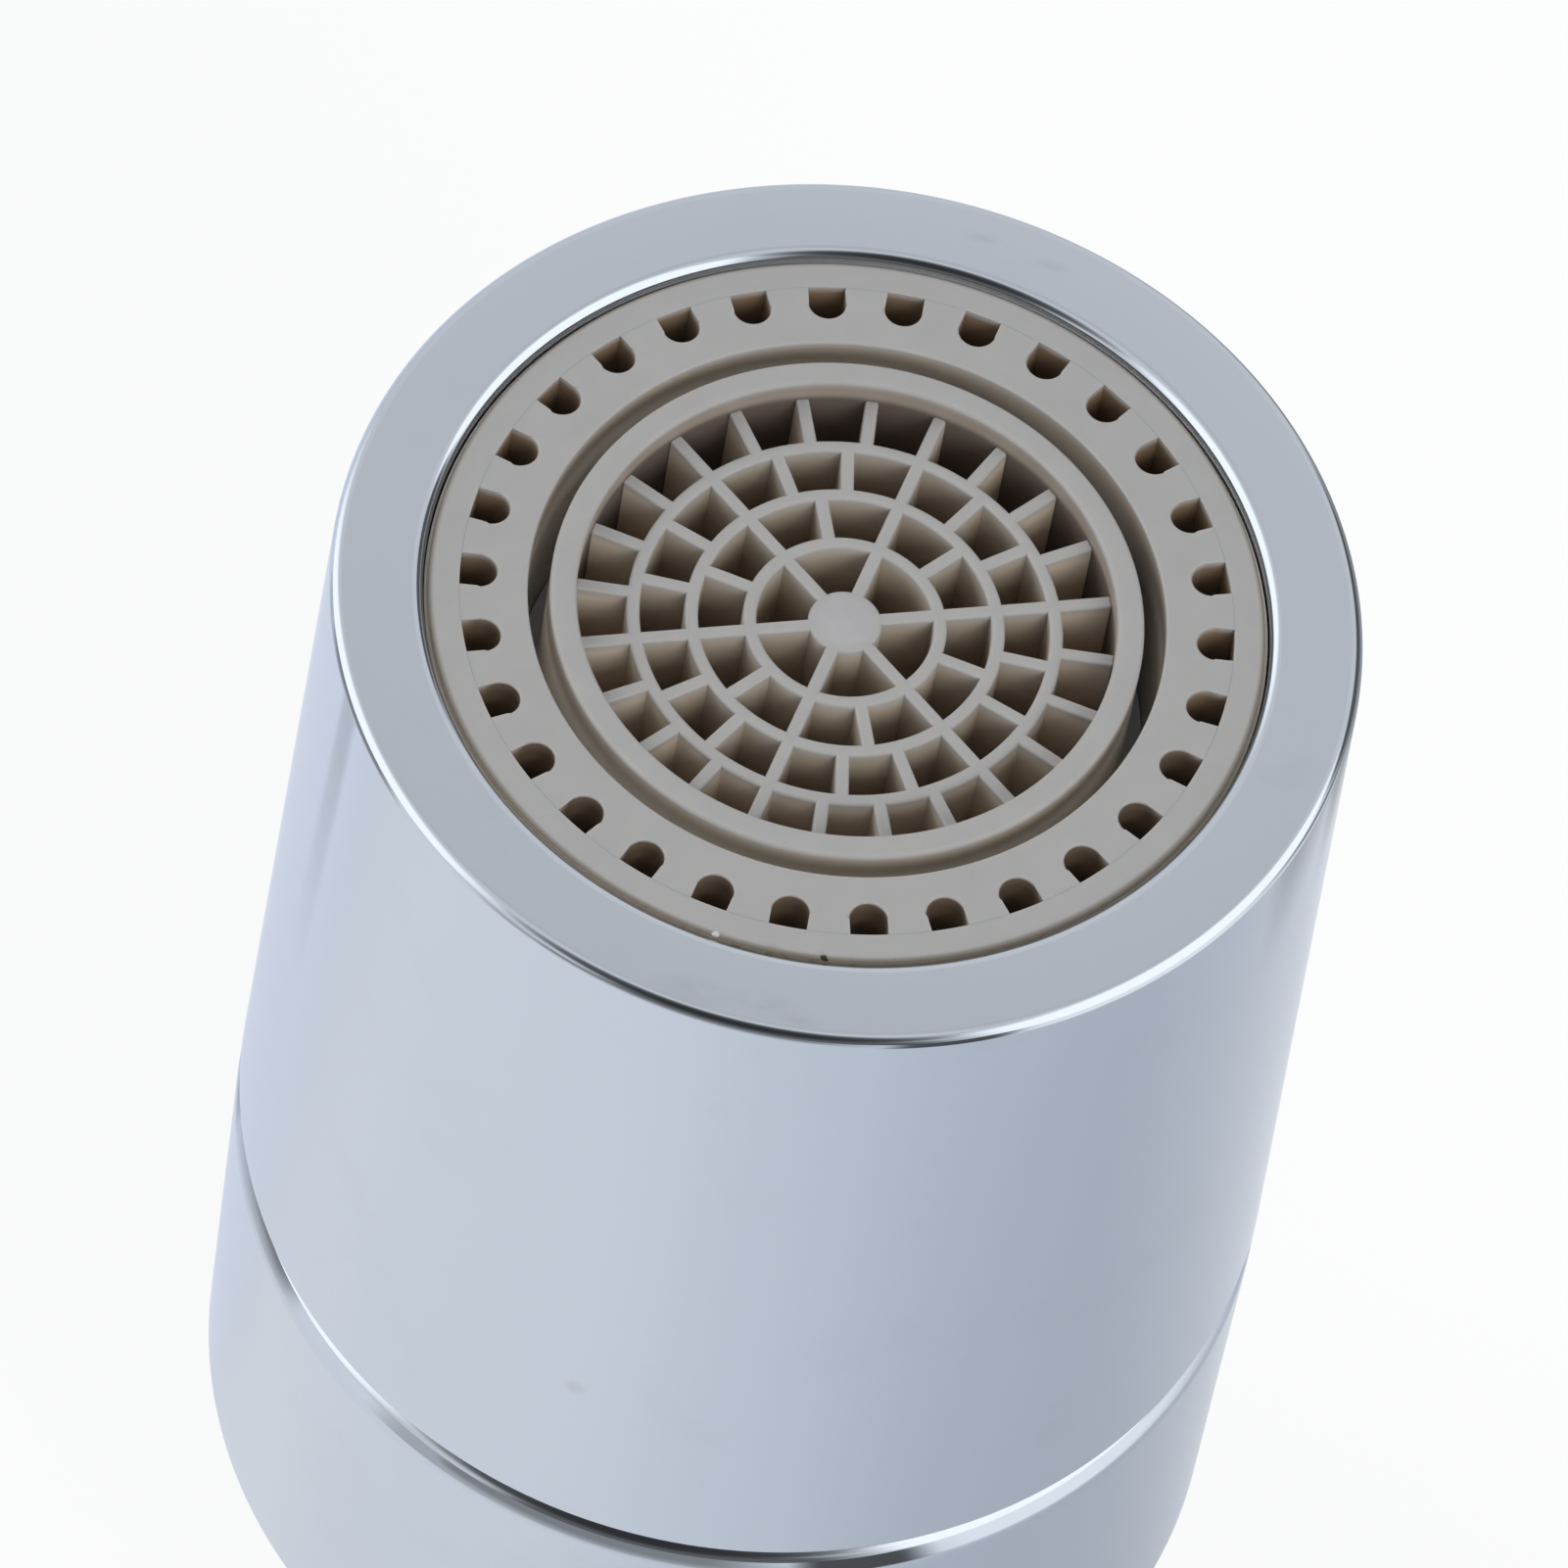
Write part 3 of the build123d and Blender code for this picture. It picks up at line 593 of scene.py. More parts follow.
def face_plastic():
    """The insert's plastic, with its zones of painted light and shade and the dirt of the joint."""
    finish, wire = new_finish("face_plastic")
    place = wire.add("ShaderNodeTexCoord", out="Object")
    depth = FACE_Z - (1.0 / MM) * wire.add("ShaderNodeSeparateXYZ", None, {0: place}, out="Z")
    front = (1.0 / MM) * wire.add("ShaderNodeSeparateXYZ", None, {0: place}, out="Y")
    flat = wire.add("ShaderNodeVectorMath", {"operation": "MULTIPLY"}, {0: place, 1: (1, 1, 0)})
    from_axis = distance_from(wire, flat, (0, 0, 0))
    clean = insert_colour_and_painted_light(wire, place, depth, from_axis, front)
    shown, scale = joint_dirt_and_painted_light(wire, place, depth, from_axis, front, clean)
    rough = SATIN_ROUGH + MOTTLE_ROUGH * noise(wire, place, *SKIN_GRAIN) + SCALE_ROUGH * scale
    grains = bumps(wire, noise(wire, place, *FACE_GRAIN), GRAIN_STRENGTH, GRAIN_DEEP)
    return close_finish(finish, wire, {"Base Color": shown, "Roughness": rough, "Normal": grains,
                                       "Subsurface Weight": LIGHT_INSIDE, "Subsurface Radius": LIGHT_SPREAD,
                                       "Subsurface Scale": LIGHT_DEEP * MM})


FINISHES["face_plastic"] = face_plastic()
print("finishes:", list(FINISHES))

# %% [markdown]
# ## Inner finishes
# The valve parts inside are a paler moulding, the ball runs in a waxy natural plastic, the seals are black
# rubber with a dusty bloom, and the snap rings are plain spring strip. Each could have nodes of its own,
# but they differ only in colour, gloss, grain and whether they are metal, so one function mixes all four.
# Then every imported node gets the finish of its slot.

# %% Inner finishes
INNER_FINISHES = {     # dark and pale colour, scale of the mottling, least and most roughness, metal, grain
    "core_plastic": (colour(0.56, 0.56, 0.54), colour(0.66, 0.66, 0.64), 500, 0.38, 0.55, 0.0, 0.05),
    "bearing_plastic": (colour(0.78, 0.76, 0.70), colour(0.88, 0.87, 0.83), 400, 0.28, 0.42, 0.0, 0.05),
    "rubber": (colour(0.018, 0.018, 0.019), colour(0.045, 0.044, 0.043), 450, 0.55, 0.80, 0.0, 0.15),
    "spring_steel": (colour(0.48, 0.48, 0.49), colour(0.60, 0.60, 0.61), 800, 0.22, 0.42, 1.0, 0.05)}
CLOUDY, FINE = (4.0, 0.6), (2.0, 0.5)    # detail and roughness of the mottling and of the grain
FINER = 12             # the grain is this much finer than the mottling
FINE_DEEP = 0.05


def mottled(name, dark, pale, scale, least_rough, most_rough, metal, grain):
    """A finish that wanders between two colours and two roughnesses, over a fine grain."""
    finish, wire = new_finish(name)
    place = wire.add("ShaderNodeTexCoord", out="Object")
    mottle = noise(wire, place, scale, *CLOUDY)
    grains = bumps(wire, noise(wire, place, FINER * scale, *FINE), grain, FINE_DEEP)
    rough = least_rough + (most_rough - least_rough) * mottle
    return close_finish(finish, wire, {"Base Color": mottle.tint(dark, pale), "Metallic": metal,
                                       "Roughness": rough, "Normal": grains})


for name, recipe in INNER_FINISHES.items():
    FINISHES[name] = mottled(name, *recipe)
for subpart in frame["record"]["subparts"]:
    for slot in frame["nodes"][subpart["node"]].material_slots:
        slot.material = FINISHES[subpart["material_slot"]]
print("finishes:", list(FINISHES))

# %% [markdown]
# ## Turning pieces
# Nearly every piece of an aerator is turned or moulded round. A stack of cylinders would have no rounds, so
# the lathe here is the spin operator: an outline of corners is drawn in the XZ plane, the corners that have
# a round get a vertex bevel while the outline is still flat, and a full spin about Z makes the body.

# %% Lathe
TURN_STEPS = 192
FINE_STEPS = 256       # for the pieces whose outlines show most
ROUND_STEPS = 6
WELD = 1e-4


def add_to(bm, other):
    """Moves another bmesh's shape into this one."""
    carrier = bpy.data.meshes.new("carrier")
    other.to_mesh(carrier)
    other.free()
    bm.from_mesh(carrier)
    bpy.data.meshes.remove(carrier)


def close_outline(bm, places):
    """Adds a closed loop of edges through those places, and returns its points and edges."""
    points = [bm.verts.new(place) for place in places]
    return points, [bm.edges.new(pair) for pair in zip(points, points[1:] + points[:1])]


def add_turned(bm, corners, steps=TURN_STEPS):
    """Adds a body turned about Z. A corner is (radius, height), or (radius, height, round)."""
    outline = bmesh.new()
    points, _ = close_outline(outline, [(corner[0], 0, corner[1]) for corner in corners])
    for point, corner in zip(points, corners):
        if len(corner) == 3:
            bmesh.ops.bevel(outline, geom=[point], offset=corner[2], segments=ROUND_STEPS, profile=0.5,
                            affect="VERTICES", material=-1)
    bmesh.ops.spin(outline, geom=outline.verts[:] + outline.edges[:], cent=(0, 0, 0), axis=(0, 0, 1),
                   angle=math.tau, steps=steps, use_merge=True)
    add_to(bm, outline)


print("a turned body has", TURN_STEPS, "steps")

# %% [markdown]
# A finished piece is welded, has its normals turned outwards and is scaled to metres. Edges sharper than a
# set angle stay sharp, and weighted normals keep the flat faces flat beside their small rounds, which a
# mirror finish would give away at once. Then the piece rides on the body of the node it stands for.

# %% Finish a piece
SMOOTH_DEG = 35.0


def finish_piece(bm, name, node, slot, smooth_deg=SMOOTH_DEG):
    """Closes a bmesh in millimetres as a piece that stands for a node and rides on its body."""
    bmesh.ops.remove_doubles(bm, verts=bm.verts[:], dist=WELD)
    bmesh.ops.recalc_face_normals(bm, faces=bm.faces[:])
    bmesh.ops.scale(bm, vec=(MM, MM, MM), verts=bm.verts[:])
    open_edges = sum(not edge.is_manifold for edge in bm.edges)
    mesh = bpy.data.meshes.new(name)
    bm.to_mesh(mesh)
    bm.free()
    mesh.materials.append(FINISHES[slot])
    mesh.shade_smooth()
    mesh.set_sharp_from_angle(angle=math.radians(smooth_deg))
    piece = bpy.data.objects.new(name, mesh)
    scene.collection.objects.link(piece)
    even = piece.modifiers.new("flat_faces_stay_flat", "WEIGHTED_NORMAL")
    even.keep_sharp = True
    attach(piece, frame["nodes"][node]["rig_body"])
    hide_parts(node)
    print(f"{name}: {len(mesh.polygons)} faces, {open_edges} open edges")
    return piece


print(f"edges over {SMOOTH_DEG:.0f} degrees stay sharp")

# %% [markdown]
# ## Outlet sleeve
# The sleeve is the chromed shell that the hand pulls. It flares a little towards the seam. A bevel modifier
# could round its rim, but the two rim rounds carry the brightest and darkest lines of the picture, so they
# are drawn as true arcs in the outline.

# %% Outlet sleeve
RIM_R = 17.0
RIM_W = 3.06
RIM_T = 2.3
RIM_ROUND = 0.40
LIP_ROUND = 0.40
SEAM_ROUND = 0.30
BORE_R = 15.5
BORE_EDGE = 0.15
CLIP_GROOVE = 0.6
FIT = 0.05
OPEN_R = RIM_R - RIM_W
UNDER_RIM_Z = RIM_Z - RIM_T
GROOVE_R = BORE_R + CLIP_GROOVE
_, CLIP_Z, CLIP_TOP_Z = reach("sleeve_clip")

bm = bmesh.new()
add_turned(bm, [(BORE_R, SEAM_Z, BORE_EDGE), (SEAM_R, SEAM_Z, SEAM_ROUND), (RIM_R, RIM_Z, RIM_ROUND),
                (OPEN_R, RIM_Z, LIP_ROUND), (OPEN_R, UNDER_RIM_Z), (BORE_R, UNDER_RIM_Z),
                (BORE_R, CLIP_TOP_Z + FIT), (GROOVE_R, CLIP_TOP_Z + FIT), (GROOVE_R, CLIP_Z - FIT),
                (BORE_R, CLIP_Z - FIT)], steps=FINE_STEPS)
finish_piece(bm, "sleeve_shell", "outlet_sleeve", "chrome")

# %% [markdown]
# ## Rear collar
# The collar screws onto the core and holds the ball's bearing ring. A steep bevel with a soft edge leads
# into the seam and draws its dark line, so it is in the outline too. The mouth in the foot is wide, because
# the head swings on the ball.

# %% Rear collar
COLLAR_BEVEL_H = 0.95
COLLAR_BEVEL_W = 0.45
COLLAR_BEVEL_EDGE = 0.2
COLLAR_LIP = 0.45
COLLAR_ROUND = 0.5
COLLAR_TAPER = 0.10
PLUG_R = 13.0
PLUG_ROOM = 0.6        # under the core's plug
MOUTH_R = 7.4
MOUTH_FLARE = 2.0
MOUTH_EDGE = 0.3
SEAT_EDGE = 0.1
COLLAR_R, COLLAR_FOOT_Z, COLLAR_Z = reach("rear_collar")
SEAT_R, SEAT_Z, BALL_Z = reach("ball_seat")
CORE_R, PLUG_Z, _ = reach("core_body")
_, GASKET_Z, _ = reach("collar_gasket")

bm = bmesh.new()
add_turned(bm, [(MOUTH_R + MOUTH_FLARE, COLLAR_FOOT_Z, MOUTH_EDGE),
                (COLLAR_R - COLLAR_TAPER, COLLAR_FOOT_Z, COLLAR_ROUND),
                (COLLAR_R, COLLAR_Z - COLLAR_BEVEL_H, COLLAR_BEVEL_EDGE),
                (COLLAR_R - COLLAR_BEVEL_W, COLLAR_Z, COLLAR_LIP), (CORE_R + FIT, COLLAR_Z),
                (CORE_R + FIT, GASKET_Z), (PLUG_R + FIT, GASKET_Z), (PLUG_R + FIT, PLUG_Z - PLUG_ROOM),
                (SEAT_R + FIT, PLUG_Z - PLUG_ROOM), (SEAT_R + FIT, SEAT_Z), (MOUTH_R, SEAT_Z, SEAT_EDGE)],
           steps=FINE_STEPS)
finish_piece(bm, "collar_shell", "rear_collar", "chrome")

# %% [markdown]
# ## Face ring
# The face ring is trapped under the sleeve's rim, and its flat top closes the slots' outer ends. A narrow
# ledge leaves a shallow joint to the rim. The ring and the spray plate could be one mesh, but they are two
# mouldings and come apart, so they stay two, and the joint between them is no more than a hairline.

# %% Face ring
FACE_GAP = 0.16
FACE_RING_W = 1.07
FACE_ROUND = 0.12
FACE_LEDGE = 0.35
LEDGE_ROUND = 0.06
SKIRT_ROUND = 0.1
FACE_STEPS = 360
FACE_R = OPEN_R - FACE_GAP
SLOT_OUT_R = FACE_R - FACE_RING_W
LEDGE_Z = FACE_Z - FACE_LEDGE

bm = bmesh.new()
add_turned(bm, [(SLOT_OUT_R + FIT, SKIRT_Z), (INSERT_R, SKIRT_Z, SKIRT_ROUND),
                (INSERT_R, UNDER_RIM_Z, SKIRT_ROUND), (OPEN_R - FIT, UNDER_RIM_Z), (OPEN_R - FIT, LEDGE_Z),
                (FACE_R, LEDGE_Z, LEDGE_ROUND), (FACE_R, FACE_Z, FACE_ROUND), (SLOT_OUT_R + FIT, FACE_Z)],
           steps=FACE_STEPS)
finish_piece(bm, "face_rim", "face_ring", "face_plastic")

# %% [markdown]
# ## Spray plate
# Thirty slots, flat at the outer end and round at the inner, let out the fan of fine jets. Cutting them
# with a boolean would leave rough edges to clean up. Instead one twelve degree slice of the plate is drawn
# as a flat face with a notch, its two inner corners are bevelled into a half circle, and spin repeats it.

# %% Slotted sheet
SLOT_COUNT = 30
SLOT_LEN = 1.18
SLOT_W = 1.25
SLOT_LAND = 1.02
SLOT_ROUND_STEPS = 8
SLOT_ROUND = 0.499 * SLOT_W    # a hair under half, so that the two rounds don't cross
LAND_STEPS = 3
BORE_ARC_STEPS = 8
HAIRLINE = 0.003
FACE_PHASE = math.radians(18.0)
SLOT_IN_R = SLOT_OUT_R - SLOT_LEN
PLATE_IN_R = SLOT_IN_R - SLOT_LAND
PLATE_R = SLOT_OUT_R + FIT - HAIRLINE


def arc(radius, start, end, steps):
    """Points along an arc about Z, both ends included."""
    turns = [start + (end - start) * step / steps for step in range(steps + 1)]
    return [(radius * math.cos(turn), radius * math.sin(turn), 0) for turn in turns]


half_slice = math.pi / SLOT_COUNT
half_slot = math.asin(SLOT_W / 2 / PLATE_R)
outline = arc(PLATE_R, -half_slice, -half_slot, LAND_STEPS)
outline += [(SLOT_IN_R, -SLOT_W / 2, 0), (SLOT_IN_R, SLOT_W / 2, 0)]
outline += arc(PLATE_R, half_slot, half_slice, LAND_STEPS)
outline += arc(PLATE_IN_R, half_slice, -half_slice, BORE_ARC_STEPS)
bm = bmesh.new()
points, _ = close_outline(bm, outline)
inner = [point for point in points if abs(point.co.x - SLOT_IN_R) < WELD]
bmesh.ops.bevel(bm, geom=inner, offset=SLOT_ROUND, segments=SLOT_ROUND_STEPS, profile=0.5,
                affect="VERTICES", material=-1)
bmesh.ops.contextual_create(bm, geom=bm.edges[:])
bmesh.ops.rotate(bm, cent=(0, 0, 0), matrix=Matrix.Rotation(FACE_PHASE, 3, "Z"), verts=bm.verts[:])
bmesh.ops.spin(bm, geom=bm.faces[:], cent=(0, 0, 0), axis=(0, 0, 1), use_duplicate=True,
               angle=math.tau * (SLOT_COUNT - 1) / SLOT_COUNT, steps=SLOT_COUNT - 1)
bmesh.ops.remove_doubles(bm, verts=bm.verts[:], dist=WELD)
print("slices:", len(bm.faces))

# %% [markdown]
# The sheet is extruded down to the plate's thickness, and its upper edges are broken: moulded edges are
# never quite sharp, and the fine light line they catch tells the eye that this is plastic. A skirt below
# carries the plate, and the outer edge stays sharp where it meets the face ring.

# %% Spray plate
PLATE_T = 2.5
PLATE_SKIRT = 0.79
SKIRT_LAP = 0.2        # the skirt reaches this far into the plate
EDGE_BREAK = 0.09
EDGE_STEPS = 3
EDGE_ANGLE = 1.0
SKIRT_OUT_R = PLATE_IN_R + PLATE_SKIRT
SKIRT_TOP_Z = FACE_Z - PLATE_T + SKIRT_LAP
_, PLATE_FOOT_Z, _ = reach("spray_plate")

bmesh.ops.translate(bm, vec=(0, 0, FACE_Z), verts=bm.verts[:])
drop = bmesh.ops.extrude_face_region(bm, geom=bm.faces[:])
lower = [item for item in drop["geom"] if isinstance(item, bmesh.types.BMVert)]
bmesh.ops.translate(bm, vec=(0, 0, -PLATE_T), verts=lower)
bmesh.ops.recalc_face_normals(bm, faces=bm.faces[:])
rims = [edge for edge in bm.edges if min(vert.co.z for vert in edge.verts) > FACE_Z - WELD
        and edge.calc_face_angle(0) > EDGE_ANGLE
        and max(vert.co.xy.length for vert in edge.verts) < PLATE_R - EDGE_BREAK]
bmesh.ops.bevel(bm, geom=rims, offset=EDGE_BREAK, offset_type="OFFSET", segments=EDGE_STEPS, profile=0.5,
                affect="EDGES", material=-1)
add_turned(bm, [(PLATE_IN_R, PLATE_FOOT_Z), (SKIRT_OUT_R, PLATE_FOOT_Z), (SKIRT_OUT_R, SKIRT_TOP_Z),
                (PLATE_IN_R, SKIRT_TOP_Z)])
finish_piece(bm, "slotted_plate", "spray_plate", "face_plastic")

# %% [markdown]
# ## Stream cup
# The cup's grille lines up the stream. Rings and spokes part it into cells, with more spokes in each ring
# outwards. Crossing bars and tubes would leave faces inside each other, so each cell is drawn as a loop at
# a few heights instead, a little wider at the top so that the ribs come out rounded, and bridge_loops makes
# its walls. A fill between all the loops then makes the ribs' tops.

# %% Grille
HUB_R = 1.22
SPOKE_COUNTS = (6, 12, 18, 24)
RIB_T = 0.45
RIB_ROUND = 0.12
RIB_ROUND_STEPS = 3
GRILLE_DEPTH = 3.6
CUP_WALL = 0.89
CUP_IN_R = CUP_R - CUP_WALL
GRILLE_Z = FACE_Z - GRILLE_DROP
ARC_STEP = math.radians(2.5)


def add_loop(bm, places, height):
    """Adds a closed loop of edges at that height, and returns its edges."""
    _, edges = close_outline(bm, [(x, y, height) for x, y, _ in places])
    return edges


def cell_places(near, far, start, end, half_rib):
    """Outline of a cell between two rings and two spokes, with half a rib taken off each side."""
    near, far = near + half_rib, far - half_rib
    near_trim, far_trim = math.asin(half_rib / near), math.asin(half_rib / far)
    steps = round((end - start) / ARC_STEP)
    near_side = arc(near, end - near_trim, start + near_trim, steps)
    return near_side + arc(far, start + far_trim, end - far_trim, steps)


def add_grille(bm, hub_r, out_r, counts, rib, phase, top, depth, edge_round):
    """Adds a round grille of a hub, rings and spokes, its upper side at that height."""
    quarter = [math.pi / 2 * step / RIB_ROUND_STEPS for step in range(RIB_ROUND_STEPS + 1)]
    levels = [(top - edge_round * (1 - math.cos(turn)), rib / 2 - edge_round * (1 - math.sin(turn)))
              for turn in quarter] + [(top - depth, rib / 2)]
    pitch = (out_r - hub_r) / len(counts)
    radii = [hub_r - rib / 2] + [hub_r + zone * pitch for zone in range(1, len(counts))] + [out_r + rib / 2]
    wheel = bmesh.new()
    outer = arc(radii[-1], 0, math.tau, round(math.tau / ARC_STEP))[:-1]
    stacks = [[add_loop(wheel, outer, top), add_loop(wheel, outer, top - depth)]]
    for count, near, far in zip(counts, radii, radii[1:]):
        for cell in range(count):
            start, end = (phase + math.tau * turn / count for turn in (cell, cell + 1))
            stacks.append([add_loop(wheel, cell_places(near, far, start, end, half_rib), height)
                           for height, half_rib in levels])
    for stack in stacks:
        for upper, lower in zip(stack, stack[1:]):
            bmesh.ops.bridge_loops(wheel, edges=upper + lower)
    for level in (0, -1):
        rims = [edge for stack in stacks for edge in stack[level]]
        bmesh.ops.triangle_fill(wheel, use_beauty=True, edges=rims, normal=(0, 0, 1))
    add_to(bm, wheel)
    return len(stacks) - 1


bm = bmesh.new()
cell_count = add_grille(bm, HUB_R, CUP_IN_R, SPOKE_COUNTS, RIB_T, FACE_PHASE, GRILLE_Z, GRILLE_DEPTH,
                        RIB_ROUND)
print("cells:", cell_count)

# %% [markdown]
# The wall of the cup is turned, with a shoulder and a spigot below. Eight windows low in the wall draw air
# in from the ring gap. The outline has a corner at the windows' foot and top, so the faces of each window
# can simply go from both sides of the wall, and bridging the two open loops makes the window's edges.

# %% Cup wall
LIP_EDGE = 0.16
SPIGOT_LEN = 1.8
SPIGOT_STEP = 0.9
SPIGOT_WALL = 0.95
SPIGOT_EDGE = 0.1
WINDOW_COUNT = 8
WINDOW_W = 3.0
WINDOW_H = 1.4
WINDOW_EDGE = 0.3
TUBE_Z = JET_TOP_Z + SPIGOT_LEN
WINDOW_Z = TUBE_Z + WINDOW_EDGE
WINDOW_TOP_Z = WINDOW_Z + WINDOW_H
SPIGOT_R = CUP_R - SPIGOT_STEP
SPIGOT_IN_R = SPIGOT_R - SPIGOT_WALL

wall = bmesh.new()
add_turned(wall, [(SPIGOT_IN_R, JET_TOP_Z), (SPIGOT_R, JET_TOP_Z, SPIGOT_EDGE), (SPIGOT_R, TUBE_Z),
                  (CUP_R, TUBE_Z), (CUP_R, WINDOW_Z), (CUP_R, WINDOW_TOP_Z), (CUP_R, FACE_Z, LIP_EDGE),
                  (CUP_IN_R, FACE_Z, LIP_EDGE), (CUP_IN_R, WINDOW_TOP_Z), (CUP_IN_R, WINDOW_Z),
                  (CUP_IN_R, TUBE_Z), (SPIGOT_IN_R, TUBE_Z)], steps=FINE_STEPS)
bmesh.ops.remove_doubles(wall, verts=wall.verts[:], dist=WELD)
half_window = math.asin(WINDOW_W / 2 / CUP_R)
for number in range(WINDOW_COUNT):
    facing = math.tau * number / WINDOW_COUNT
    panes = []
    for face in wall.faces:
        middle = face.calc_center_median()
        off = (math.atan2(middle.y, middle.x) - facing + math.pi) % math.tau - math.pi
        if abs(off) < half_window and abs(middle.z - WINDOW_Z - WINDOW_H / 2) < WINDOW_H / 4:
            panes.append(face)
    bmesh.ops.delete(wall, geom=panes, context="FACES")
    bmesh.ops.bridge_loops(wall, edges=[edge for edge in wall.edges if edge.is_boundary])
add_to(bm, wall)
finish_piece(bm, "stream_grille", "stream_cup", "face_plastic")

# %% [markdown]
# ## Nipple
# The nipple is what screws into the tap: a hexagon for the key, and below it a fine thread of one
# millimetre pitch. Its shank is turned down to the thread's root, so that the thread can be laid on it.

# %% Shank
THREAD_R = 12.0
THREAD_DEPTH = 0.61
THREAD_LEN = 6.5
HEX_T = 3.0
WEB_T = 4.1
CAVITY_R = 8.6
JOURNAL_R = 5.0
RUN_FIT = 0.06
SHANK_CHAMFER = 0.3
SHANK_EDGE = 0.1
ROOT_R = THREAD_R - THREAD_DEPTH
STRAINER_R, END_Z, STRAINER_TOP_Z = reach("inlet_strainer")
HEX_Z = END_Z + THREAD_LEN
NIPPLE_Z = HEX_Z + HEX_T
WEB_Z = NIPPLE_Z - WEB_T
BEARING_R = JOURNAL_R + RUN_FIT

bm = bmesh.new()
add_turned(bm, [(STRAINER_R + FIT, END_Z), (ROOT_R - SHANK_CHAMFER, END_Z, SHANK_EDGE),
                (ROOT_R, END_Z + SHANK_CHAMFER), (ROOT_R, HEX_Z), (BEARING_R, HEX_Z), (BEARING_R, WEB_Z),
                (CAVITY_R, WEB_Z), (CAVITY_R, STRAINER_TOP_Z), (STRAINER_R + FIT, STRAINER_TOP_Z)])
print("shank faces:", len(bm.faces))

# %% [markdown]
# The hexagon is a six-sided cone of equal radii. Its upright edges are rounded and its rims bevelled, as on
# turned and plated brass. Then the two caps go, and bridging the rims to circles of the stem's bore leaves
# a clean hole without a boolean.

# %% Hexagon
HEX_SIDES = 6
HEX_ACROSS = 25.0
HEX_EDGE_ROUND = 1.5
HEX_BEVEL = 0.35
BORE_STEPS = 96
NEARLY_LEVEL = 0.9
LEVEL = 0.99
HEX_R = HEX_ACROSS / math.sqrt(3)

hexagon = bmesh.new()
bmesh.ops.create_cone(hexagon, cap_ends=True, segments=HEX_SIDES, radius1=HEX_R, radius2=HEX_R, depth=HEX_T)
bmesh.ops.translate(hexagon, vec=(0, 0, HEX_Z + HEX_T / 2), verts=hexagon.verts[:])
bmesh.ops.rotate(hexagon, cent=(0, 0, 0), matrix=Matrix.Rotation(math.pi / 2, 3, "Z"), verts=hexagon.verts[:])
upright = [edge for edge in hexagon.edges if abs(edge.verts[0].co.z - edge.verts[1].co.z) > WELD]
bmesh.ops.bevel(hexagon, geom=upright, offset=HEX_EDGE_ROUND, offset_type="OFFSET", segments=ROUND_STEPS,
                profile=0.5, affect="EDGES", material=-1)
caps = [face for face in hexagon.faces if abs(face.normal.z) > NEARLY_LEVEL]
around = list({edge for face in caps for edge in face.edges})
bmesh.ops.bevel(hexagon, geom=around, offset=HEX_BEVEL, offset_type="OFFSET", segments=EDGE_STEPS,
                profile=0.5, affect="EDGES", material=-1)
caps = [face for face in hexagon.faces if abs(face.normal.z) > LEVEL]
bmesh.ops.delete(hexagon, geom=caps, context="FACES_ONLY")
mouths = []
for level in (HEX_Z, NIPPLE_Z):
    rim = [edge for edge in hexagon.edges if edge.is_boundary and abs(edge.verts[0].co.z - level) < WELD]
    bore = bmesh.ops.create_circle(hexagon, cap_ends=False, segments=BORE_STEPS, radius=BEARING_R)["verts"]
    bmesh.ops.translate(hexagon, vec=(0, 0, level), verts=bore)
    mouth = list({edge for vert in bore for edge in vert.link_edges})
    bmesh.ops.bridge_loops(hexagon, edges=rim + mouth)
    mouths += mouth
bmesh.ops.bridge_loops(hexagon, edges=mouths)
add_to(bm, hexagon)
print("shank and hexagon faces:", len(bm.faces))

# %% [markdown]
# A bump map could fake the thread, but its outline would stay smooth. So the thread is a small tooth, spun
# up a helix by giving spin a step along Z, with its foot sunk into the shank. Its two ends are trimmed to
# a chamfer, as a die leaves them.

# %% Thread
THREAD_PITCH = 1.0
THREAD_CHAMFER = 0.8
THREAD_STEPS = 72
THREAD_START = 0.45
THREAD_ENDS = 1.1      # what the two ends take from the thread's length
HEX_RELIEF = 0.35
TOOTH = ((ROOT_R - 0.1, 0.46), (ROOT_R, 0.42), (THREAD_R, 0.06))    # radius and half width
THREAD_SMOOTH_DEG = 28.0

turns = (THREAD_LEN - THREAD_ENDS) / THREAD_PITCH
lower_flank = [(radius, 0, END_Z + THREAD_START - half) for radius, half in TOOTH]
upper_flank = [(radius, 0, END_Z + THREAD_START + half) for radius, half in reversed(TOOTH)]
tooth = bmesh.new()
close_outline(tooth, lower_flank + upper_flank)
bmesh.ops.spin(tooth, geom=tooth.verts[:] + tooth.edges[:], cent=(0, 0, 0), axis=(0, 0, 1),
               dvec=(0, 0, THREAD_PITCH / THREAD_STEPS), angle=math.tau * turns,
               steps=round(turns * THREAD_STEPS))
bmesh.ops.holes_fill(tooth, edges=[edge for edge in tooth.edges if edge.is_boundary], sides=0)
for vert in tooth.verts:
    radius = vert.co.xy.length
    from_end = min(vert.co.z - END_Z, HEX_Z - HEX_RELIEF - vert.co.z)
    vert.co.xy *= min(radius, THREAD_R - THREAD_CHAMFER + max(from_end, 0.0)) / radius
add_to(bm, tooth)
finish_piece(bm, "threaded_nipple", "inlet_nipple", "chrome", smooth_deg=THREAD_SMOOTH_DEG)

# %% [markdown]
# ## Ball stem
# The ball and its stem are one turned piece. A sphere joined to a cylinder would leave a seam at the neck,
# so the ball's section is an arc in the same outline, cut flat on top where the water comes out, and the
# stem is stepped for its shoulder, its seal and its clip.

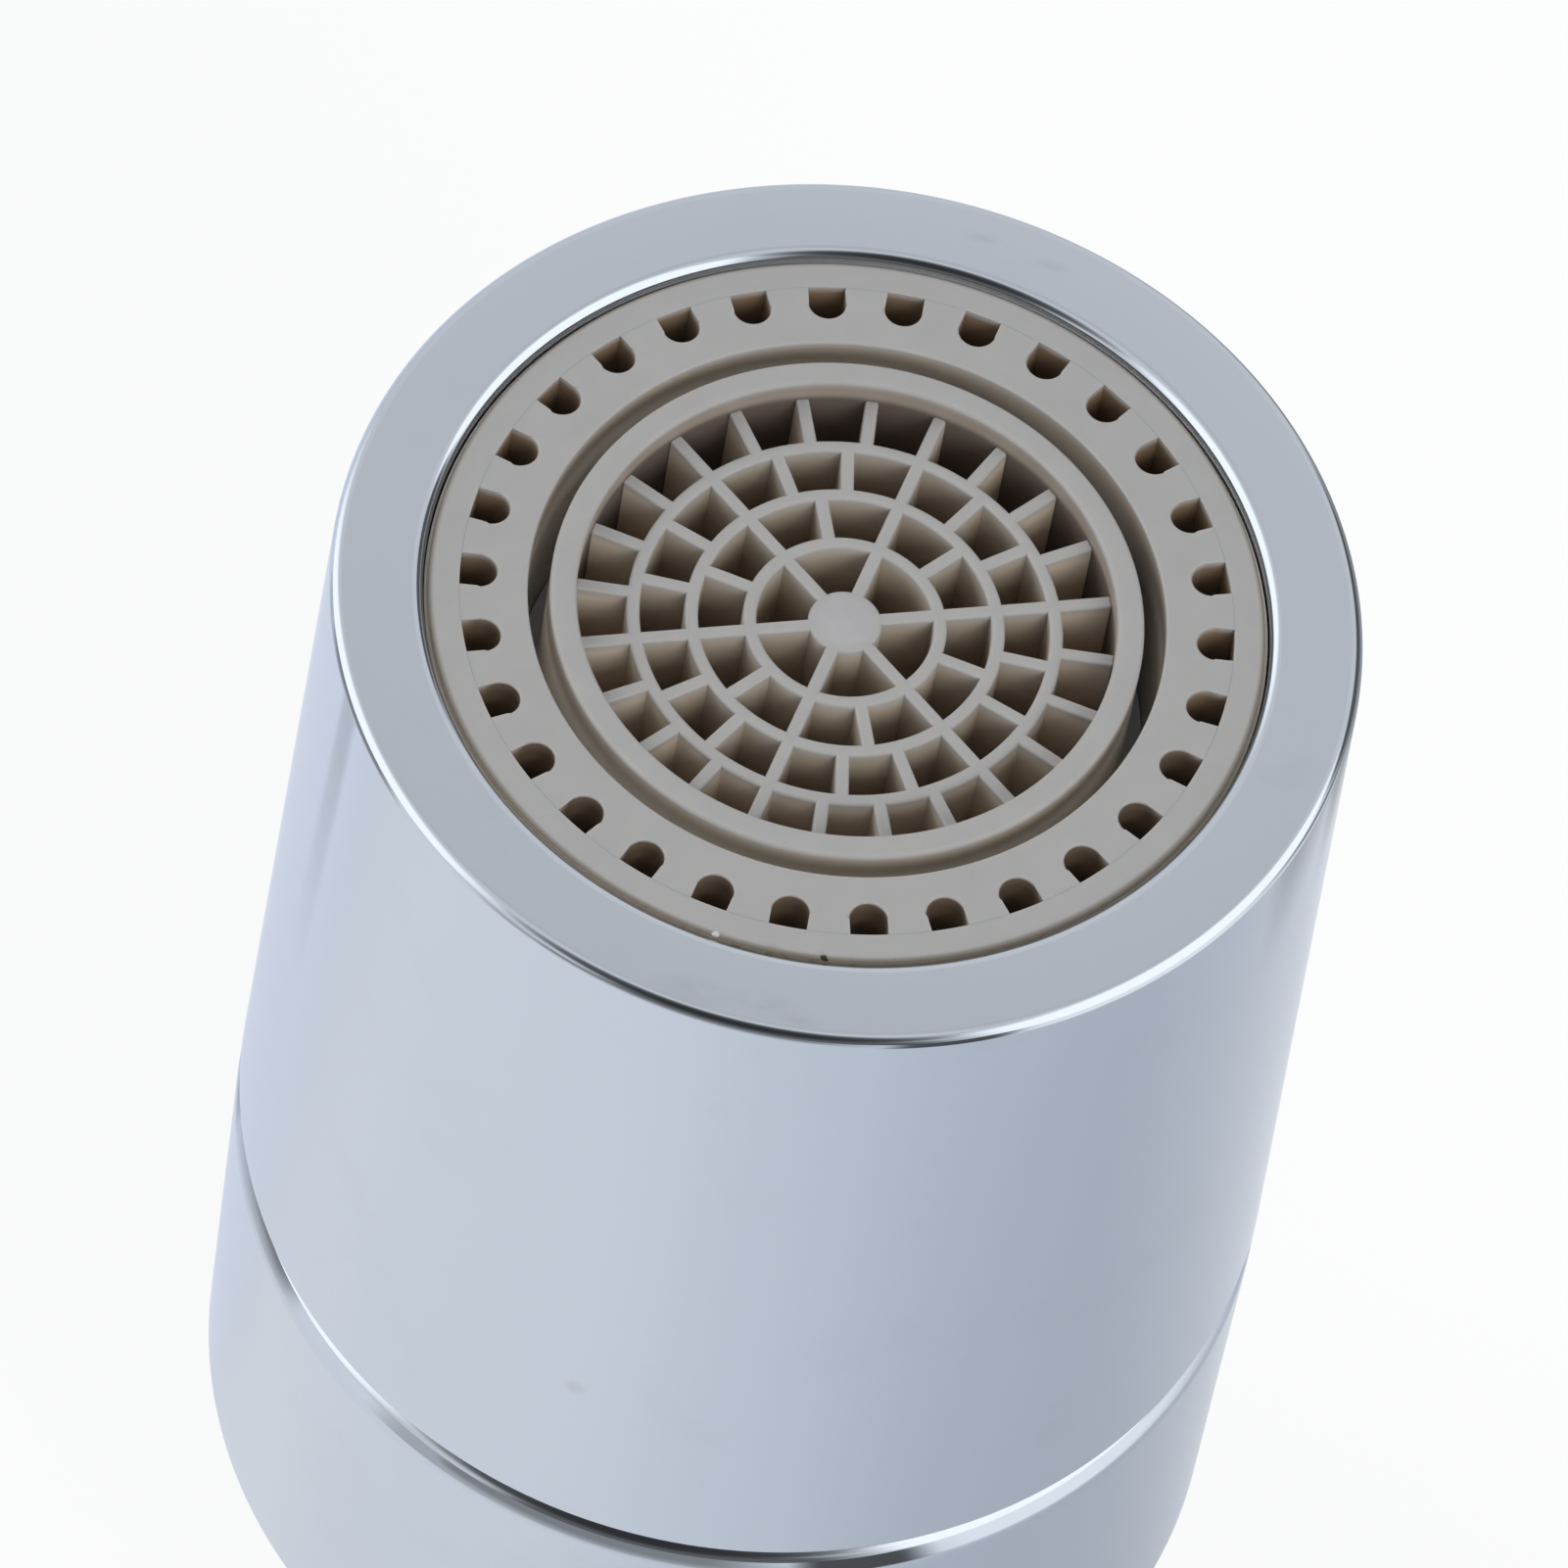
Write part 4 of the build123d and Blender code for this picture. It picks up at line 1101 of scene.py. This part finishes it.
# %% Ball stem
BALL_R = 8.0
BALL_FLAT = 6.0
BALL_STEPS = 28
NECK_R = 5.2
NECK_ROUND = 0.3
SHOULDER_R = 6.2
SHOULDER_T = 1.4
SHOULDER_EDGES = (0.1, 0.2)
FLOW_R = 3.0
STEM_EDGE = 0.2
MOUTH_ROUND = 0.3
END_PLAY = 0.1
CLIP_BITE = 0.8
RING_SPARE = 0.15
_, STEM_CLIP_Z, STEM_CLIP_TOP_Z = reach("stem_clip")
STEM_RING_R, STEM_RING_Z, STEM_RING_TOP_Z = reach("stem_oring")
_, STEM_Z, BALL_TOP_Z = reach("ball_stem")
BITE_R = JOURNAL_R - CLIP_BITE
RING_BED_R = STEM_RING_R - (STEM_RING_TOP_Z - STEM_RING_Z)
SHOULDER_Z = NIPPLE_Z + END_PLAY
SHOULDER_TOP_Z = SHOULDER_Z + SHOULDER_T

neck_angle = -math.acos(NECK_R / BALL_R)
flat_angle = math.asin(BALL_FLAT / BALL_R)
ball_angles = [neck_angle + (flat_angle - neck_angle) * step / BALL_STEPS for step in range(BALL_STEPS + 1)]
ball = [(BALL_R * math.cos(turn), BALL_Z + BALL_R * math.sin(turn)) for turn in ball_angles]
bm = bmesh.new()
add_turned(bm, [(FLOW_R, STEM_Z, STEM_EDGE), (JOURNAL_R, STEM_Z, STEM_EDGE), (JOURNAL_R, STEM_CLIP_Z - FIT),
                (BITE_R, STEM_CLIP_Z - FIT), (BITE_R, STEM_CLIP_TOP_Z + FIT),
                (JOURNAL_R, STEM_CLIP_TOP_Z + FIT), (JOURNAL_R, STEM_RING_Z - RING_SPARE),
                (RING_BED_R, STEM_RING_Z - RING_SPARE), (RING_BED_R, STEM_RING_TOP_Z + RING_SPARE),
                (JOURNAL_R, STEM_RING_TOP_Z + RING_SPARE), (JOURNAL_R, SHOULDER_Z),
                (SHOULDER_R, SHOULDER_Z, SHOULDER_EDGES[0]), (SHOULDER_R, SHOULDER_TOP_Z, SHOULDER_EDGES[1]),
                (NECK_R, SHOULDER_TOP_Z, NECK_ROUND), *ball, (FLOW_R, BALL_TOP_Z, MOUTH_ROUND)])
finish_piece(bm, "ball_and_stem", "ball_stem", "chrome")

# %% [markdown]
# ## Inlet gasket and strainer
# A flat rubber ring seals the nipple against the tap, and a moulded strainer sits behind it. The gasket is
# turned with soft corners. The strainer could be a wire mesh, but moulded ones are common in such heads, and
# it is the cup's grille again, with a plain rim round it.

# %% Gasket and strainer
GASKET_W = 2.8
GASKET_ROUND = 0.25
STRAINER_HUB_R = 1.2
STRAINER_RIM = 0.9
STRAINER_COUNTS = (6, 12, 18)
STRAINER_RIB = 0.45
STRAINER_RIB_ROUND = 0.08
STRAINER_EDGE = 0.1
GASKET_OUT_R, _, GASKET_T = reach("inlet_gasket")
STRAINER_IN_R = STRAINER_R - STRAINER_RIM

bm = bmesh.new()
add_turned(bm, [(radius, height, GASKET_ROUND) for radius, height in (
    (GASKET_OUT_R - GASKET_W, 0), (GASKET_OUT_R, 0), (GASKET_OUT_R, GASKET_T),
    (GASKET_OUT_R - GASKET_W, GASKET_T))])
finish_piece(bm, "tap_gasket", "inlet_gasket", "rubber")

bm = bmesh.new()
add_grille(bm, STRAINER_HUB_R, STRAINER_IN_R, STRAINER_COUNTS, STRAINER_RIB, 0.0, STRAINER_TOP_Z,
           STRAINER_TOP_Z - END_Z, STRAINER_RIB_ROUND)
add_turned(bm, [(radius, height, STRAINER_EDGE) for radius, height in (
    (STRAINER_IN_R, END_Z), (STRAINER_R, END_Z), (STRAINER_R, STRAINER_TOP_Z),
    (STRAINER_IN_R, STRAINER_TOP_Z))])
finish_piece(bm, "strainer", "inlet_strainer", "core_plastic")

# %% [markdown]
# ## Last update
# The view layer is updated once more.

# %% Finish
bpy.context.view_layer.update()
